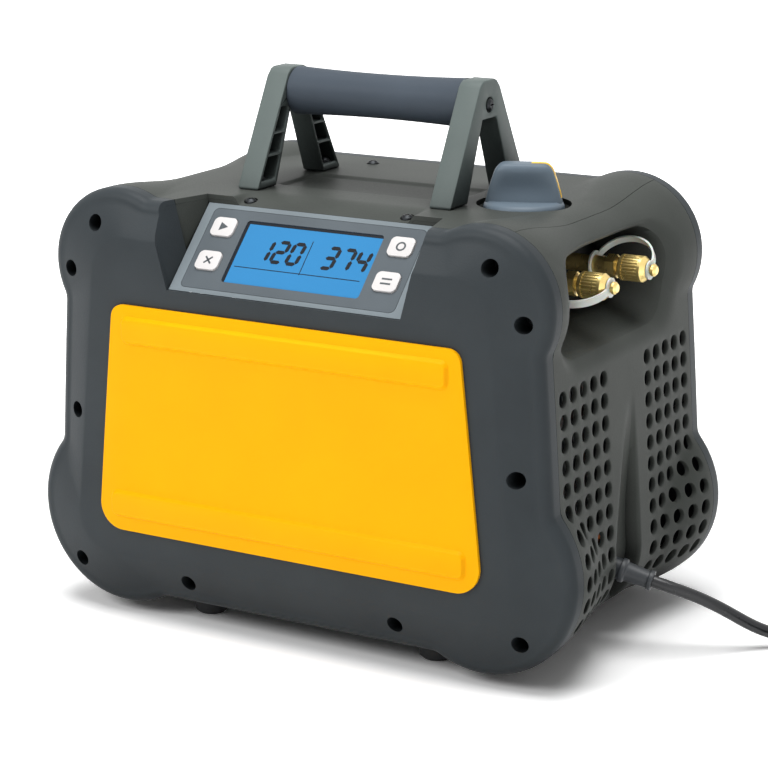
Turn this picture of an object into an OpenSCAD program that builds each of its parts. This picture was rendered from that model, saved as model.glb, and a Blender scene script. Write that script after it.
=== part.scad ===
// Portable refrigerant recovery machine.
// Millimetres, +Z up, +X to the side with the ports, -Y to the front.
// The origin is on the floor under the middle of the housing.

/* [Housing] */
// Width across the lower corner bumpers
body_w = 402; // [392:1:416]
// Depth between the flat front field and its like at the rear
body_d = 249; // [242:1:256]
// Height of the upper corner bumpers
body_h = 292; // [286:1:300]
// Step in from the lower to the upper corner bumpers, each side
shoulder_in = 17; // [15:0.5:19]
// Radius of a lower corner bumper
low_bumper_r = 65; // [62:0.5:67]
// Radius of an upper corner bumper
high_bumper_r = 51; // [49:0.5:53]
// Height of the lower bumpers above the floor
floor_gap = 8; // [5:0.5:12]
// Height of the flat underside above the floor
belly_z = 16.5; // [15:0.5:18]
// Drop from the upper bumpers to the deck
deck_drop = 6; // [4:0.5:8]
// Step in from the lower bumpers to the flat sides halfway up
waist_in = 19.5; // [18:0.25:21]
// Lean of the flat sides, width gained per height
side_draft = 0.068; // [0.05:0.002:0.08]
// Radius of the hollow that joins a bumper to the flat
blend_r = 12; // [8:1:16]
// Corner radius of the plain middle section, below
low_corner_r = 48; // [40:1:52]
// Corner radius of the plain middle section, above
high_corner_r = 45; // [38:1:48]
// Wall of the mouldings
wall = 3; // [2.4:0.2:3.6]
// Depth of the front and rear covers
cover_d = 24; // [22:0.5:26]
// Rounding of the covers' outer edge
edge_r = 8; // [6:0.5:10]
// Height of the crowned face above the covers' edge
crown = 9; // [7:0.5:10]
// Clearance between neighbouring mouldings
seam = 0.3; // [0.2:0.05:0.5]

/* [Front panel] */
// Step in from the lower bumpers to the yellow panel's foot, each side
panel_in = 56.5; // [54:0.5:60]
// Step in from the panel's foot to its head, each side
panel_taper = 16; // [14:0.5:18]
// Drop from the upper bumpers to the panel's head
panel_head = 73.4; // [70:0.2:78]
// Height of the panel's foot above the floor
panel_z = 64.6; // [62:0.2:70]
// Thickness of the panel
panel_t = 2.5; // [2:0.1:3]
// Corner radius at the panel's foot
panel_low_r = 17; // [12:1:20]
// Corner radius at the panel's head
panel_high_r = 9; // [6:1:12]
// Flat margin of the cover round the panel
panel_margin = 18; // [15:1:20]
// Flat margin of the cover above the panel
head_margin = 42.4; // [38:0.2:44]
// Width of the raised bars
bar_w = 17; // [14:1:20]
// Height of the raised bars
bar_rise = 1.2; // [0.6:0.2:1.6]
// Gap from a bar to the panel's side edges
bar_inset = 12; // [8:1:20]

/* [Console] */
// Width of the sloping console
console_w = 172; // [166:1:176]
// Length of the console along its slope
console_len = 68.7; // [66:0.1:70]
// Depth of the bezel under its face
bezel_t = 8; // [6:0.5:10]
// Width of the printed overlay
overlay_w = 158; // [152:1:162]
// Margin above and below the overlay
overlay_margin = 3.6; // [3:0.2:5]
// Thickness of the overlay
overlay_t = 1; // [0.6:0.1:1.4]
// Width of the display window
lcd_w = 101; // [96:1:104]
// Height of the display window
lcd_h = 47; // [44:1:49]
// Thickness of the display
lcd_t = 5; // [4:0.5:6]
// Distance of the buttons from the console's middle
button_x = 66; // [64.5:0.5:68]
// Place of the lower buttons along the slope
button_low = 24.5; // [20:0.5:26]
// Spacing of the buttons along the slope
button_pitch = 26.2; // [24:0.2:28]
// Width of a button
button_w = 17; // [15:0.5:19]
// Height of a button
button_h = 14; // [12:0.5:16]
// How far a button stands out of the overlay
button_rise = 1.4; // [1.2:0.1:2]
// Travel of a button
button_travel = 0.8; // [0.5:0.1:1]
// Lean of the walls beside the console, width gained per height
console_flare = 0.27; // [0.2:0.01:0.35]

/* [Handle] */
// Step in from the upper bumpers to the outer faces of the brackets
handle_in = 104; // [102:1:108]
// Height of the handle above the deck
handle_h = 76; // [72:1:80]
// Thickness of a bracket
bracket_t = 16; // [14:0.5:18]
// Span of a bracket's feet
bracket_span = 105; // [98:1:108]
// Width of a bracket's flat top
bracket_top = 22; // [18:1:26]
// Width of a leg at its foot
leg_foot = 23; // [20:1:26]
// Width of a leg at the top of the opening
leg_top = 15; // [13:0.5:16]
// Height of the opening between the legs
leg_open_h = 51; // [46:1:54]
// Web of the channel-shaped legs
leg_web = 3; // [2.4:0.2:3.6]
// Offset of the handle behind the middle
handle_y = 2.5; // [0:0.5:5]
// Diameter of the grip at its middle
grip_d = 29; // [26:0.5:31]
// Swell of the grip towards its ends
grip_swell = 1.5; // [1:0.25:2]
// Diameter of the tube in the grip
tube_d = 14; // [10:0.5:16]

/* [Selector] */
// Step in from the upper bumpers to the knob's axis
knob_in = 76; // [74:0.5:78]
// Knob position along the deck
knob_y = -3.5; // [-6:0.5:0]
// Diameter of the knob's skirt
knob_d = 52; // [50:1:56]
// Height of the knob above its recess
knob_h = 31; // [28:1:34]
// Thickness of the knob's wing
wing_t = 17; // [14:1:20]
// Length of the wing at its top
wing_top = 34; // [30:1:38]
// Clearance between the knob and its recess
knob_gap = 4.5; // [3:0.5:6]
// Depth of the recess under the deck
recess_d = 5; // [4:0.5:6]
// Turn of the pointer from +X
knob_rest = 22; // [0:1:45]
// Diameter of the valve spindle
spindle_d = 10; // [8:0.5:12]

/* [Ports] */
// Spacing of the two ports
port_pitch = 59; // [54:1:62]
// Middle of the two ports, behind the middle of the housing
port_y = 1.5; // [0:0.5:4]
// Depth of the ports' axis under the deck
port_drop = 42.5; // [40:0.5:45]
// Reach of the ports' caps beyond the upper bumpers
port_reach = 2; // [0:0.5:4]
// Outside diameter of the ports' pipe
pipe_d = 11.6; // [10:0.2:12.4]
// Outside diameter of the flare thread
flare_d = 11; // [10:0.2:11.2]
// Outside diameter of the caps
cap_d = 17; // [16:0.5:19]
// Length of the caps
cap_len = 19; // [17:0.5:21]
// Gap from the front seam to the port bay
bay_front = 13; // [12:0.5:16]
// Gap from the port bay to the rear seam
bay_rear = 29; // [24:0.5:34]
// Height of the port bay
bay_h = 74; // [70:1:76]
// Corner radius of the bay
bay_r = 28; // [22:1:32]
// Depth of the bay's back wall inside the upper bumpers
bay_in = 62; // [59:0.5:63]

/* [Vents] */
// Diameter of a vent hole
vent_d = 10; // [8:0.5:10.5]
// Gap from the last column of vents to the seam
vent_edge = 10.7; // [9:0.1:14]
// Columns of holes in a group
vent_cols = 5; // [3:1:5]
// Rows of holes in a group
vent_rows = 11; // [6:1:11]
// Drop from the deck to the top row
vent_drop = 100; // [98:1:106]
// Height of the lowest row above the floor
vent_low = 43; // [41:0.5:48]
// Distance of the first column from the middle
vent_first = 32.6; // [30:0.2:33]
// Width of the cord groove at its foot
groove_w = 36; // [34:0.5:37]
// Depth of the cord groove at its foot
groove_depth = 9; // [6:0.5:10]

/* [Drive] */
// Diameter of the motor
motor_d = 112; // [106:1:116]
// Length of the motor
motor_len = 98; // [92:1:102]
// Height of the motor's shaft above the chassis
shaft_h = 73; // [71:0.5:76]
// Diameter of the motor's shaft
shaft_d = 12; // [10:0.5:14]
// Diameter of the fan
fan_d = 138; // [130:1:140]
// Blades of the fan
fan_blades = 5; // [4:1:7]
// Tip clearance of the fan
fan_gap = 3; // [2:0.5:4]
// Diameter of a compressor cylinder
cylinder_d = 48; // [44:1:52]
// Outside diameter of the condenser's tubes
coil_d = 8; // [7:0.5:9]
// Spacing of the condenser's tubes
coil_pitch = 24; // [22:0.5:25]
// Number of fins
fin_count = 20; // [12:1:24]

/* [Cord] */
// Diameter of the mains cord
cord_d = 8; // [7:0.5:8.5]
// Mean radius of the wound cord
coil_r = 44; // [42:0.5:48]

/* [Hidden] */
$fn = 64;
e = 0.01;
big = 600;

// Colours
charcoal = "#41484d";
stone = "#565b58";
slate = "#646d6b";
yellow = "#fdba14";
steel_grey = "#8d9296";
brass = "#c9a24a";
copper = "#b5693f";
black = "#202224";

// Places that follow from the housing
part_y = body_d / 2 - cover_d;
face_y = body_d / 2;
deck_z = body_h - deck_drop;
shoulder_w = body_w - 2 * shoulder_in;
waist_w = body_w - 2 * waist_in;
panel_low_w = body_w - 2 * panel_in;
panel_high_w = panel_low_w - 2 * panel_taper;
panel_h = body_h - panel_z - panel_head;
handle_w = shoulder_w - 2 * handle_in;
knob_x = shoulder_w / 2 - knob_in;
port_x = shoulder_w / 2 + port_reach;
bay_x = shoulder_w / 2 - bay_in;
bay_w = 2 * part_y - bay_front - bay_rear;
bay_y = (bay_front - bay_rear) / 2;
vent_top = deck_z - vent_drop;
vent_col = (part_y - vent_edge - vent_first) / max(1, vent_cols - 1);
vent_row = (vent_top - vent_low) / max(1, vent_rows - 1);
side_z = 160;
low_c = [body_w / 2 - low_bumper_r, floor_gap + low_bumper_r];
high_c = [shoulder_w / 2 - high_bumper_r, body_h - high_bumper_r];
side_p = [waist_w / 2, side_z];
side_lean = atan(side_draft);
side_n = [cos(side_lean), sin(side_lean)];
side_t = [-sin(side_lean), cos(side_lean)];

// Slight crown of the straight stretches
bow = 0.1;

// Steps along an outline: blends, arcs and the flat side
blend_steps = 3;
arc_steps = 12;
flat_steps = 9;

// Centres of the four hollows that join the bumpers to the flats of one half
function along(r, off) = sqrt(max(0.01, pow(r + blend_r, 2) - off * off));
low_off = side_n * (side_p - low_c) + blend_r;
high_off = side_n * (side_p - high_c) + blend_r;
blend_belly = [low_c[0] - along(low_bumper_r, low_c[1] - belly_z + blend_r), belly_z - blend_r];
blend_low = low_c + side_n * low_off + side_t * along(low_bumper_r, low_off);
blend_high = high_c + side_n * high_off - side_t * along(high_bumper_r, high_off);
blend_deck = [high_c[0] - along(high_bumper_r, deck_z + blend_r - high_c[1]), deck_z + blend_r];
belly_x = blend_belly[0];
deck_x = blend_deck[0];

function mix(a, b, s) = a + (b - a) * s;
function bowed(a, b, s, n) = mix(a, b, s) + 4 * s * (1 - s) * bow * n;
function ease(s) = let (t = min(1, max(0, s))) t * t * (3 - 2 * t);
function heading(v) = atan2(v[1], v[0]);
function side_x(z) = (side_n * side_p - side_n[1] * z) / side_n[0];

// Points of an arc; first = 1 leaves out the point shared with the line before it
function arc(c, r, a0, a1, steps, first = 1) =
    [for (i = [first:steps]) let (a = mix(a0, a1, i / steps)) c + r * [cos(a), sin(a)]];

// Right half of the outline with corner bumpers, from the belly up to the deck, moved in by d
function bumper_half(d) = let (
    fr = blend_r + d,
    a1 = heading(low_c - blend_belly),
    b1 = heading(blend_low - low_c),
    e1 = heading(high_c - blend_high),
    g1 = heading(blend_deck - high_c),
    p2 = blend_low - fr * side_n,
    p3 = blend_high - fr * side_n)
    concat(
        arc(blend_belly, fr, 90, a1, blend_steps, 0),
        arc(low_c, low_bumper_r - d, a1 - 180, b1, arc_steps),
        arc(blend_low, fr, b1 + 180, side_lean + 180, blend_steps),
        [for (i = [1:flat_steps]) bowed(p2, p3, i / (flat_steps + 1), side_n)],
        arc(blend_high, fr, side_lean + 180, e1, blend_steps, 0),
        arc(high_c, high_bumper_r - d, e1 - 180, g1, arc_steps),
        arc(blend_deck, fr, g1 - 180, -90, blend_steps));

// Point on a slightly crowned level edge that ends at x = half
function crowned(x, half, z, up) = [x, z + up * bow * (1 - pow(x / half, 2))];

// Right half of a plain rounded trapezoid with the same number of points, moved in by d
function plain_half(p, lean, z0, z1, r0, r1, d) = let (
    n = [cos(lean), sin(lean)],
    c0 = [(n * p - r0 - n[1] * (z0 + r0)) / n[0], z0 + r0],
    c1 = [(n * p - r1 - n[1] * (z1 - r1)) / n[0], z1 - r1],
    p0 = c0 + (r0 - d) * n,
    p1 = c1 + (r1 - d) * n,
    steps = 2 * blend_steps + flat_steps + 1)
    concat(
        [for (i = [0:blend_steps]) crowned(mix(belly_x, c0[0], i / blend_steps), c0[0], z0 + d, -1)],
        arc(c0, r0 - d, -90, lean, arc_steps),
        [for (i = [1:steps]) bowed(p0, p1, i / steps, n)],
        arc(c1, r1 - d, lean, 90, arc_steps),
        [for (i = [1:blend_steps]) crowned(mix(c1[0], deck_x, i / blend_steps), c1[0], z1 - d, 1)]);

function middle_half(d) =
    plain_half(side_p, side_lean, belly_z, deck_z, low_corner_r, high_corner_r, d);

// The bumpers grow out of the plain middle section towards the covers
fade_start = 22;
function section_half(y, d) = let (
    s = ease((abs(y) - fade_start) / (part_y - fade_start)),
    m = middle_half(d),
    b = bumper_half(d))
    [for (i = [0:len(m) - 1]) mix(m[i], b[i], s)];

function flip(pts) = [for (i = [len(pts) - 1:-1:0]) [-pts[i][0], pts[i][1]]];
function back(pts) = [for (i = [len(pts) - 1:-1:0]) pts[i]];
function ring(half) = concat(half, flip(half));
function at_y(pts, y) = [for (p = pts) [p[0], y, p[1]]];
function part_of(pts, i0, i1) = [for (i = [i0:i1]) pts[i]];

// Closed solid through a row of rings with equal numbers of points; the ends of a thin wall,
// whose ring runs out along one side and back along the other, are strips across the wall
module loft(rings, thin = false) {
    m = len(rings[0]);
    k = len(rings);
    points = [for (r = rings) each r];
    sides = [for (i = [0:k - 2], j = [0:m - 1]) let (
        a = i * m + j, b = i * m + (j + 1) % m, c = b + m, f = a + m)
        each [[a, b, c], [a, c, f]]];
    cap = thin
        ? [for (j = [0:m / 2 - 2]) each [[j, j + 1, m - 2 - j], [j, m - 2 - j, m - 1 - j]]]
        : [[for (j = [0:m - 1]) j]];
    first_cap = [for (f = cap) back(f)];
    last_cap = [for (f = cap) [for (j = f) (k - 1) * m + j]];
    polyhedron(points, concat(sides, first_cap, last_cap), convexity = 8);
}

// Outlines drawn along the depth of the housing
module middle_prism(d) {
    rotate([90, 0, 0]) linear_extrude(body_d, center = true) polygon(ring(middle_half(d)));
}

module bumper_prism(d) {
    rotate([90, 0, 0]) linear_extrude(body_d, center = true) polygon(ring(bumper_half(d)));
}

// Plate with its outline in the width and height, thickness towards the rear from y
module upright(y, t) {
    translate([0, y + t, 0]) rotate([90, 0, 0]) linear_extrude(t) children();
}

// Plate with its outline in the depth and height, thickness towards the right from x
module sideways(x, t) {
    translate([x, 0, 0]) rotate([90, 0, 90]) linear_extrude(t) children();
}

module along_x(x, y, z, d, len) { translate([x, y, z]) rotate([0, 90, 0]) cylinder(d = d, h = len); }
module along_y(x, y, z, d, len) { translate([x, y, z]) rotate([-90, 0, 0]) cylinder(d = d, h = len); }

module rounded(w, h, r) {
    square([w - 2 * r, h], center = true);
    square([w, h - 2 * r], center = true);
    for (sx = [-1, 1], sy = [-1, 1]) translate([sx * (w / 2 - r), sy * (h / 2 - r)]) circle(r);
}

// Cover screws: places in the right half, and sizes
screw_d = 4;
screw_head_d = 8;
screw_head_t = 3;
screw_bore_d = 11;
screw_len = 10.5;
boss_d = 12;
sleeve_d = screw_bore_d + 2 * wall;
screw_seat = part_y - 1;
low_screw = low_c + [30.8, -37.5];
high_screw = high_c + [12, 28.3];
shoulder_screw = high_c + [34, -4.3];
side_screw_z = 141;
side_screw = [side_x(side_screw_z) - 18.5, side_screw_z];
belly_screw = [belly_x - 22, belly_z + 16.3];
cover_screws = [low_screw, high_screw, shoulder_screw, side_screw, belly_screw];
panel_bosses = [low_screw, shoulder_screw, side_screw];

module mirrored() {
    children();
    mirror([1, 0, 0]) children();
}

// Flat field of a cover, round the panel
panel_lean = atan((panel_low_w - panel_high_w) / 2 / panel_h);
field_p = [panel_low_w / 2 + panel_margin, panel_z];
field_low_r = panel_low_r + panel_margin / 2;
field_high_r = panel_high_r + panel_margin;
field_top = panel_z + panel_h + head_margin;
function field_half(d) = plain_half(field_p, panel_lean, panel_z - panel_margin, field_top,
    field_low_r, field_high_r, d);

// Halfway between field and rim the face has fallen by this share
half_fall = 0.45;
function between(d) = let (a = field_half(d), b = bumper_half(edge_r + d))
    [for (i = [0:len(a) - 1]) mix(a[i], b[i], 0.5)];
function between_y(face) = mix(face, edge_y, half_fall);

edge_steps = 4;
edge_y = face_y - crown;
function cover_ring(d, y) = at_y(ring(bumper_half(d)), -y);
function cover_rings(face) = concat(
    [at_y(ring(field_half(0)), -face), at_y(ring(between(0)), -between_y(face))],
    [for (i = [0:edge_steps]) let (a = 90 - 90 * i / edge_steps)
        cover_ring(edge_r * (1 - cos(a)), edge_y - edge_r * (1 - sin(a)))],
    [cover_ring(0, part_y + seam / 2), cover_ring(wall, part_y + seam / 2),
        cover_ring(wall, edge_y - edge_r), cover_ring(edge_r, edge_y - wall),
        at_y(ring(between(0)), wall - between_y(face)), at_y(ring(field_half(0)), wall - face)]);

// The cover's bulk a little under its skin, which the screws' sleeves run up to
under = wall / 3;
function bulk_rings(face) = [
    at_y(ring(field_half(0)), under - face), at_y(ring(between(0)), under - between_y(face)),
    cover_ring(edge_r, edge_y - under), cover_ring(wall / 2, edge_y - edge_r),
    cover_ring(wall / 2, part_y + seam / 2)];

module cover_bores() {
    mirrored() for (p = cover_screws) {
        along_y(p[0], -face_y - crown, p[1], screw_bore_d, face_y + crown - screw_seat - wall);
        along_y(p[0], -face_y, p[1], screw_d + 2 * seam, cover_d + e);
    }
}

// Shell with a sleeve behind each screw, from under its skin to the seam
module plain_cover(face) {
    difference() {
        union() {
            loft(cover_rings(face));
            intersection() {
                loft(bulk_rings(face));
                mirrored() for (p = cover_screws)
                    along_y(p[0], -face - 1, p[1], sleeve_d, face + 1 - part_y - seam / 2);
            }
        }
        cover_bores();
    }
}

// The console: a slope between the covers and the deck
console_tilt = 45;
console_drop = 5.5;
console_run = console_len * cos(console_tilt);
console_y0 = -face_y + 2;
console_y1 = console_y0 + console_run;
console_z1 = deck_z - console_drop;
console_z0 = console_z1 - console_len * sin(console_tilt);
bezel_back = bezel_t / cos(console_tilt);

// Section of the console in depth and height, grown by g
module console_section(g) {
    polygon([
        [console_y0 - g, console_z0 - g],
        [console_y0 + bezel_back + g * 0.42, console_z0 - g],
        [console_y1 + g, console_z1 - bezel_back - g * 1.42],
        [console_y1 + g, console_z1 + g]]);
}

// Everything above the console's face, between walls that lean out as they rise; grown sideways by g
cheek_x = console_w / 2 + seam;
notch_y = console_y0 - 20;
notch_z = body_h + 20;
function notch_x(y, z, g) = cheek_x + g
    + console_flare * (z - max(console_z0, console_z0 + y - console_y0));
function notch_ends(g) = [
    for (p = [[notch_y, console_z0], [console_y0, console_z0], [console_y1 + seam, console_z1 + seam],
        [console_y1 + seam, notch_z], [console_y0, notch_z], [notch_y, notch_z]], s = [-1, 1])
        [s * notch_x(p[0], p[1], g), p[0], p[1] - seam]];

module console_space(g) {
    hull() polyhedron(notch_ends(g), [[0, 2, 4], [1, 3, 5], [6, 8, 10], [7, 9, 11]]);
}

module console_notch() {
    console_space(0);
    sideways(-cheek_x, 2 * cheek_x) console_section(seam);
}

// Walls beside the console, up to the housing's skin, between two depths
module cheek(y0, y1) {
    under_skin = 0.6 * wall;
    difference() {
        intersection() {
            console_space(wall);
            sideways(-body_w / 2, body_w) intersection() {
                translate([y0, console_z0 - seam]) square([y1 - y0, big]);
                polygon([[-face_y + under_skin, console_z0 - wall], [console_y1 - wall, console_z1 - wall],
                    [console_y1 + wall, deck_z - under_skin], [-part_y, deck_z - under_skin],
                    [-edge_y + wall, deck_z - edge_r - under_skin],
                    [-face_y + under_skin, field_top - wall]]);
            }
        }
        console_space(0);
    }
}

module front_cover() {
    color(charcoal) difference() {
        union() {
            plain_cover(face_y);
            cheek(-face_y, -part_y - seam / 2);
        }
        console_notch();
    }
}

module rear_cover() {
    color(charcoal) mirror([0, 1, 0]) plain_cover(face_y + panel_t + bar_rise);
}

// The cord groove in the right side: a wedge that widens to its foot, with a steep rear wall
groove_top = vent_top - 14;
groove_ledge = 74;
groove_rear = 8;
groove_lip = 2.5;
groove_soft = 8;
groove_y0 = groove_rear + groove_lip - groove_w;
function groove_front(z) =
    mix(groove_rear - groove_soft, groove_y0, (groove_top - z) / (groove_top - groove_ledge));
function groove_at(y, z) = groove_depth
    * ease((groove_top - z) / (groove_top - groove_ledge)) * ease((z - belly_z - wall - 4) / 12)
    * ease((y - max(groove_y0, groove_front(z))) / groove_soft) * (1 - ease((y - groove_rear) / groove_lip));

// Rows of the middle mouldings, front to rear
row_steps = 6;
row_ys = concat(
    [for (i = [0:row_steps - 1]) mix(-part_y, groove_y0, i / row_steps)],
    [groove_y0, groove_y0 + groove_soft, (groove_y0 + groove_rear) / 2, groove_rear - groove_soft,
        groove_rear, groove_rear + groove_lip],
    [for (i = [1:row_steps]) mix(groove_rear + groove_lip, part_y, i / row_steps)]);
seam_i = 2 * blend_steps + 1 + arc_steps + flat_steps + blend_steps + 1 + 7;
last_i = len(middle_half(0)) - 1;

function grooved(pts, y, on) =
    [for (p = pts) p - (on && p[0] > low_c[0] ? groove_at(y, p[1]) : 0) * [1, 0]];

function panel_rows(grooves) = [for (y = row_ys) let (
    o = grooved(part_of(section_half(y, 0), 0, seam_i), y, grooves),
    n = grooved(part_of(section_half(y, wall), 0, seam_i), y, grooves))
    at_y(concat(o, back(n)), y)];

// Boss for a cover screw with a web out to the skin
boss_len = 10;
module skin_boss(p, out) {
    for (s = [-1, 1]) scale([1, s, 1]) intersection() {
        union() {
            along_y(p[0], -part_y + seam / 2, p[1], boss_d, boss_len);
            translate([p[0], -part_y + seam / 2, p[1]]) rotate([0, -out, 0])
                translate([0, 0, -wall / 2]) cube([40, boss_len, wall]);
        }
        bumper_prism(0.75 * wall);
    }
}

module boss_bore(p) {
    for (s = [-1, 1]) scale([1, s, 1]) along_y(p[0], -part_y - e, p[1], screw_d + seam / 2, boss_len - 1);
}

module vents() {
    for (s = [-1, 1], c = [0:vent_cols - 1], r = [0:vent_rows - 1])
        along_x(low_c[0] - 40, s * (vent_first + c * vent_col), vent_top - r * vent_row, vent_d, 120);
}

module side_skin(grooves) {
    difference() {
        union() {
            loft(panel_rows(grooves), thin = true);
            for (p = panel_bosses) skin_boss(p, p == shoulder_screw ? 0 : p == low_screw ? -20 : 0);
        }
        for (p = panel_bosses) boss_bore(p);
        vents();
    }
}

// The port bay: a tray let into the right side
bay_top = deck_z - 15;
bay_z = bay_top - bay_h / 2;
port_z = deck_z - port_drop;
port_hole_d = pipe_d + 4;

module bay_space(grow) {
    translate([bay_x - grow, bay_y, bay_z]) rotate([90, 0, 90]) linear_extrude(body_w)
        rounded(bay_w + 2 * grow, bay_h + 2 * grow, bay_r + grow);
}

module right_side_panel() {
    color(stone) difference() {
        union() {
            difference() {
                side_skin(true);
                bay_space(0);
            }
            difference() {
                intersection() {
                    bay_space(wall);
                    middle_prism(wall / 2);
                }
                bay_space(0);
            }
        }
        for (s = [-1, 1])
            along_x(bay_x - wall - 1, port_y + s * port_pitch / 2, port_z, port_hole_d, wall + 2);
        relief_hole();
    }
}

module left_side_panel() {
    color(stone) mirror([1, 0, 0]) side_skin(false);
}

// The top cover, with the deck between the legs let down a little
deck_slope = 24.4;
deck_edge_y = console_y1 + deck_slope;
channel_half = 26;
channel_y0 = handle_y - channel_half;
channel_y1 = handle_y + channel_half;
channel_ramp = 6;
channel_d = 1.6;
deck_ys = concat(
    [for (i = [0:6]) mix(-part_y, deck_edge_y, i / 7)],
    [deck_edge_y, (deck_edge_y + channel_y0) / 2, channel_y0, channel_y0 + channel_ramp,
        mix(channel_y0, channel_y1, 0.38), mix(channel_y0, channel_y1, 0.62),
        channel_y1 - channel_ramp, channel_y1],
    [for (i = [1:5]) mix(channel_y1, part_y, i / 5)]);
function deck_fall(y) = console_drop * pow(max(0, deck_edge_y - y) / (deck_edge_y - console_y1), 1.5)
    + channel_d * ease((y - channel_y0) / channel_ramp) * ease((channel_y1 - y) / channel_ramp);
deck_half = handle_w / 2 - bracket_t - 2;

function top_half(y, d) = let (h = section_half(y, d)) concat(
    part_of(h, seam_i, last_i),
    [[deck_half + 6, deck_z - d], [deck_half, deck_z - d - deck_fall(y)]]);
function trimmed(half) = let (a = half[0], b = half[1])
    concat([mix(a, b, seam / norm(b - a))], [for (i = [1:len(half) - 1]) half[i]]);
function top_ring(y) = let (o = trimmed(top_half(y, 0)), n = trimmed(top_half(y, wall)))
    at_y(concat(o, flip(o), back(concat(n, flip(n)))), y);

recess_r = knob_d / 2 + knob_gap;
recess_z = deck_z - recess_d;
top_screw_x = deck_half - 3.5;
top_screw_y = console_y1 + 7.4;
rear_screw_x = deck_half - 10;
rear_screw_y = part_y - 22;
deck_screws = [[top_screw_x, top_screw_y, 1.4], [rear_screw_x, rear_screw_y, 1]];
deck_screw_len = 12;
deck_boss_h = 6;
foot_boss_d = 10;
foot_boss_h = 8;
function deck_seat(p) = deck_z - deck_fall(p[1]) - p[2];
handle_z = deck_z + bow;
foot_ys = [handle_y - bracket_span / 2 + leg_foot / 2, handle_y + bracket_span / 2 - leg_foot / 2];
foot_x = handle_w / 2 - bracket_t / 2 - leg_web / 2;

module top_cover() {
    color(stone) difference() {
        union() {
            difference() {
                union() {
                    loft([for (y = deck_ys) top_ring(y)], thin = true);
                    cheek(-part_y + seam / 2, console_y1);
                }
                console_notch();
                translate([knob_x, knob_y, recess_z]) cylinder(r = recess_r, h = 30);
            }
            difference() {
                translate([knob_x, knob_y, recess_z - wall])
                    cylinder(r = recess_r + wall, h = recess_d + wall / 2);
                translate([knob_x, knob_y, recess_z]) cylinder(r = recess_r, h = 30);
            }
            mirrored() skin_boss(high_screw, 90);
            mirrored() for (y = foot_ys) translate([foot_x, y, deck_z - wall - foot_boss_h])
                cylinder(d = foot_boss_d, h = foot_boss_h + e);
            mirrored() for (p = deck_screws) translate([p[0], p[1], deck_seat(p) - deck_boss_h])
                cylinder(d = boss_d, h = deck_boss_h - wall / 3);
        }
        mirrored() boss_bore(high_screw);
        translate([knob_x, knob_y, recess_z - wall - 1]) cylinder(d = spindle_d + 2 * seam, h = wall + 2);
        mirrored() for (y = foot_ys) translate([foot_x, y, deck_z - wall - foot_boss_h - 1])
            cylinder(d = screw_d + seam / 2, h = 30);
        mirrored() for (p = deck_screws) translate([p[0], p[1], deck_seat(p)]) {
            translate([0, 0, -20]) cylinder(d = screw_d + seam / 2, h = 40);
            cylinder(d = screw_head_d + 1, h = 40);
        }
    }
}

// Base tray between the lower edges of the side panels
tray_half = belly_x - seam;
foot_x_place = belly_x - 13.4;
foot_y_place = part_y - 20.5;
foot_d = 26;
foot_screw_d = 5;

module base_tray() {
    color(charcoal) difference() {
        union() {
            translate([-tray_half, -part_y + seam, belly_z])
                cube([2 * tray_half, 2 * (part_y - seam), wall]);
            mirrored() for (s = [-1, 1]) scale([1, s, 1]) {
                along_y(belly_screw[0], -part_y + seam / 2, belly_screw[1], boss_d, boss_len);
                translate([belly_screw[0] - wall / 2, -part_y + seam / 2, belly_z])
                    cube([wall, boss_len, belly_screw[1] - belly_z]);
            }
        }
        mirrored() boss_bore(belly_screw);
        mirrored() for (s = [-1, 1]) translate([foot_x_place, s * foot_y_place, belly_z - e])
            cylinder(d = foot_screw_d + 2 * seam, h = wall + 1);
    }
}

// Steel plate that carries the machinery, inside the tray
chassis_z = belly_z + wall;
chassis_t = 2.5;
chassis_top = chassis_z + chassis_t;
chassis_half = 128;
chassis_y = 64;

module chassis_plate() {
    color(steel_grey) difference() {
        translate([-chassis_half, -chassis_y, chassis_z]) cube([2 * chassis_half, 2 * chassis_y, chassis_t]);
        for (x = mount_xs, s = [-1, 1]) translate([x, s * mount_y, chassis_z - 1])
            cylinder(d = mount_stud_d + 2 * seam, h = 10);
    }
}

// Rubber feet under the tray
foot_h = belly_z;
module feet() {
    color(black) mirrored() for (s = [-1, 1]) translate([foot_x_place, s * foot_y_place, 0]) difference() {
        rotate_extrude() polygon([[0, 0], [foot_d / 2 - 4, 0], [foot_d / 2 - 2, 2], [foot_d / 2, foot_h],
            [0, foot_h]]);
        translate([0, 0, -1]) cylinder(d = foot_screw_d + 2 * seam, h = foot_h + 2);
        translate([0, 0, -1]) cylinder(d = foot_screw_d * 2 + 2, h = foot_h - 3);
    }
}

module foot_screws() {
    color(steel_grey) mirrored() for (s = [-1, 1]) translate([foot_x_place, s * foot_y_place, 0]) {
        translate([0, 0, foot_h - 4 - 3]) cylinder(d = foot_screw_d * 2, h = 3);
        translate([0, 0, foot_h - 4 - e]) cylinder(d = foot_screw_d, h = 4 + wall + 4);
        translate([0, 0, belly_z + wall]) cylinder(d = foot_screw_d * 2 - 1, h = 3, $fn = 6);
    }
}

// Yellow panel with its two raised bars
module panel_outline(d) {
    polygon(ring(plain_half([panel_low_w / 2, panel_z], panel_lean, panel_z, panel_z + panel_h,
        panel_low_r, panel_high_r, d)));
}

function panel_half(z) = panel_low_w / 2 - (z - panel_z) * tan(panel_lean);
bar_high_z = panel_z + panel_h - 8 - bar_w / 2;
bar_low_z = panel_z + 10 + bar_w / 2;

module raised_bar(z) {
    translate([0, z]) rounded(2 * (panel_half(z) - bar_inset), bar_w, bar_w / 2 - e);
}

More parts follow.
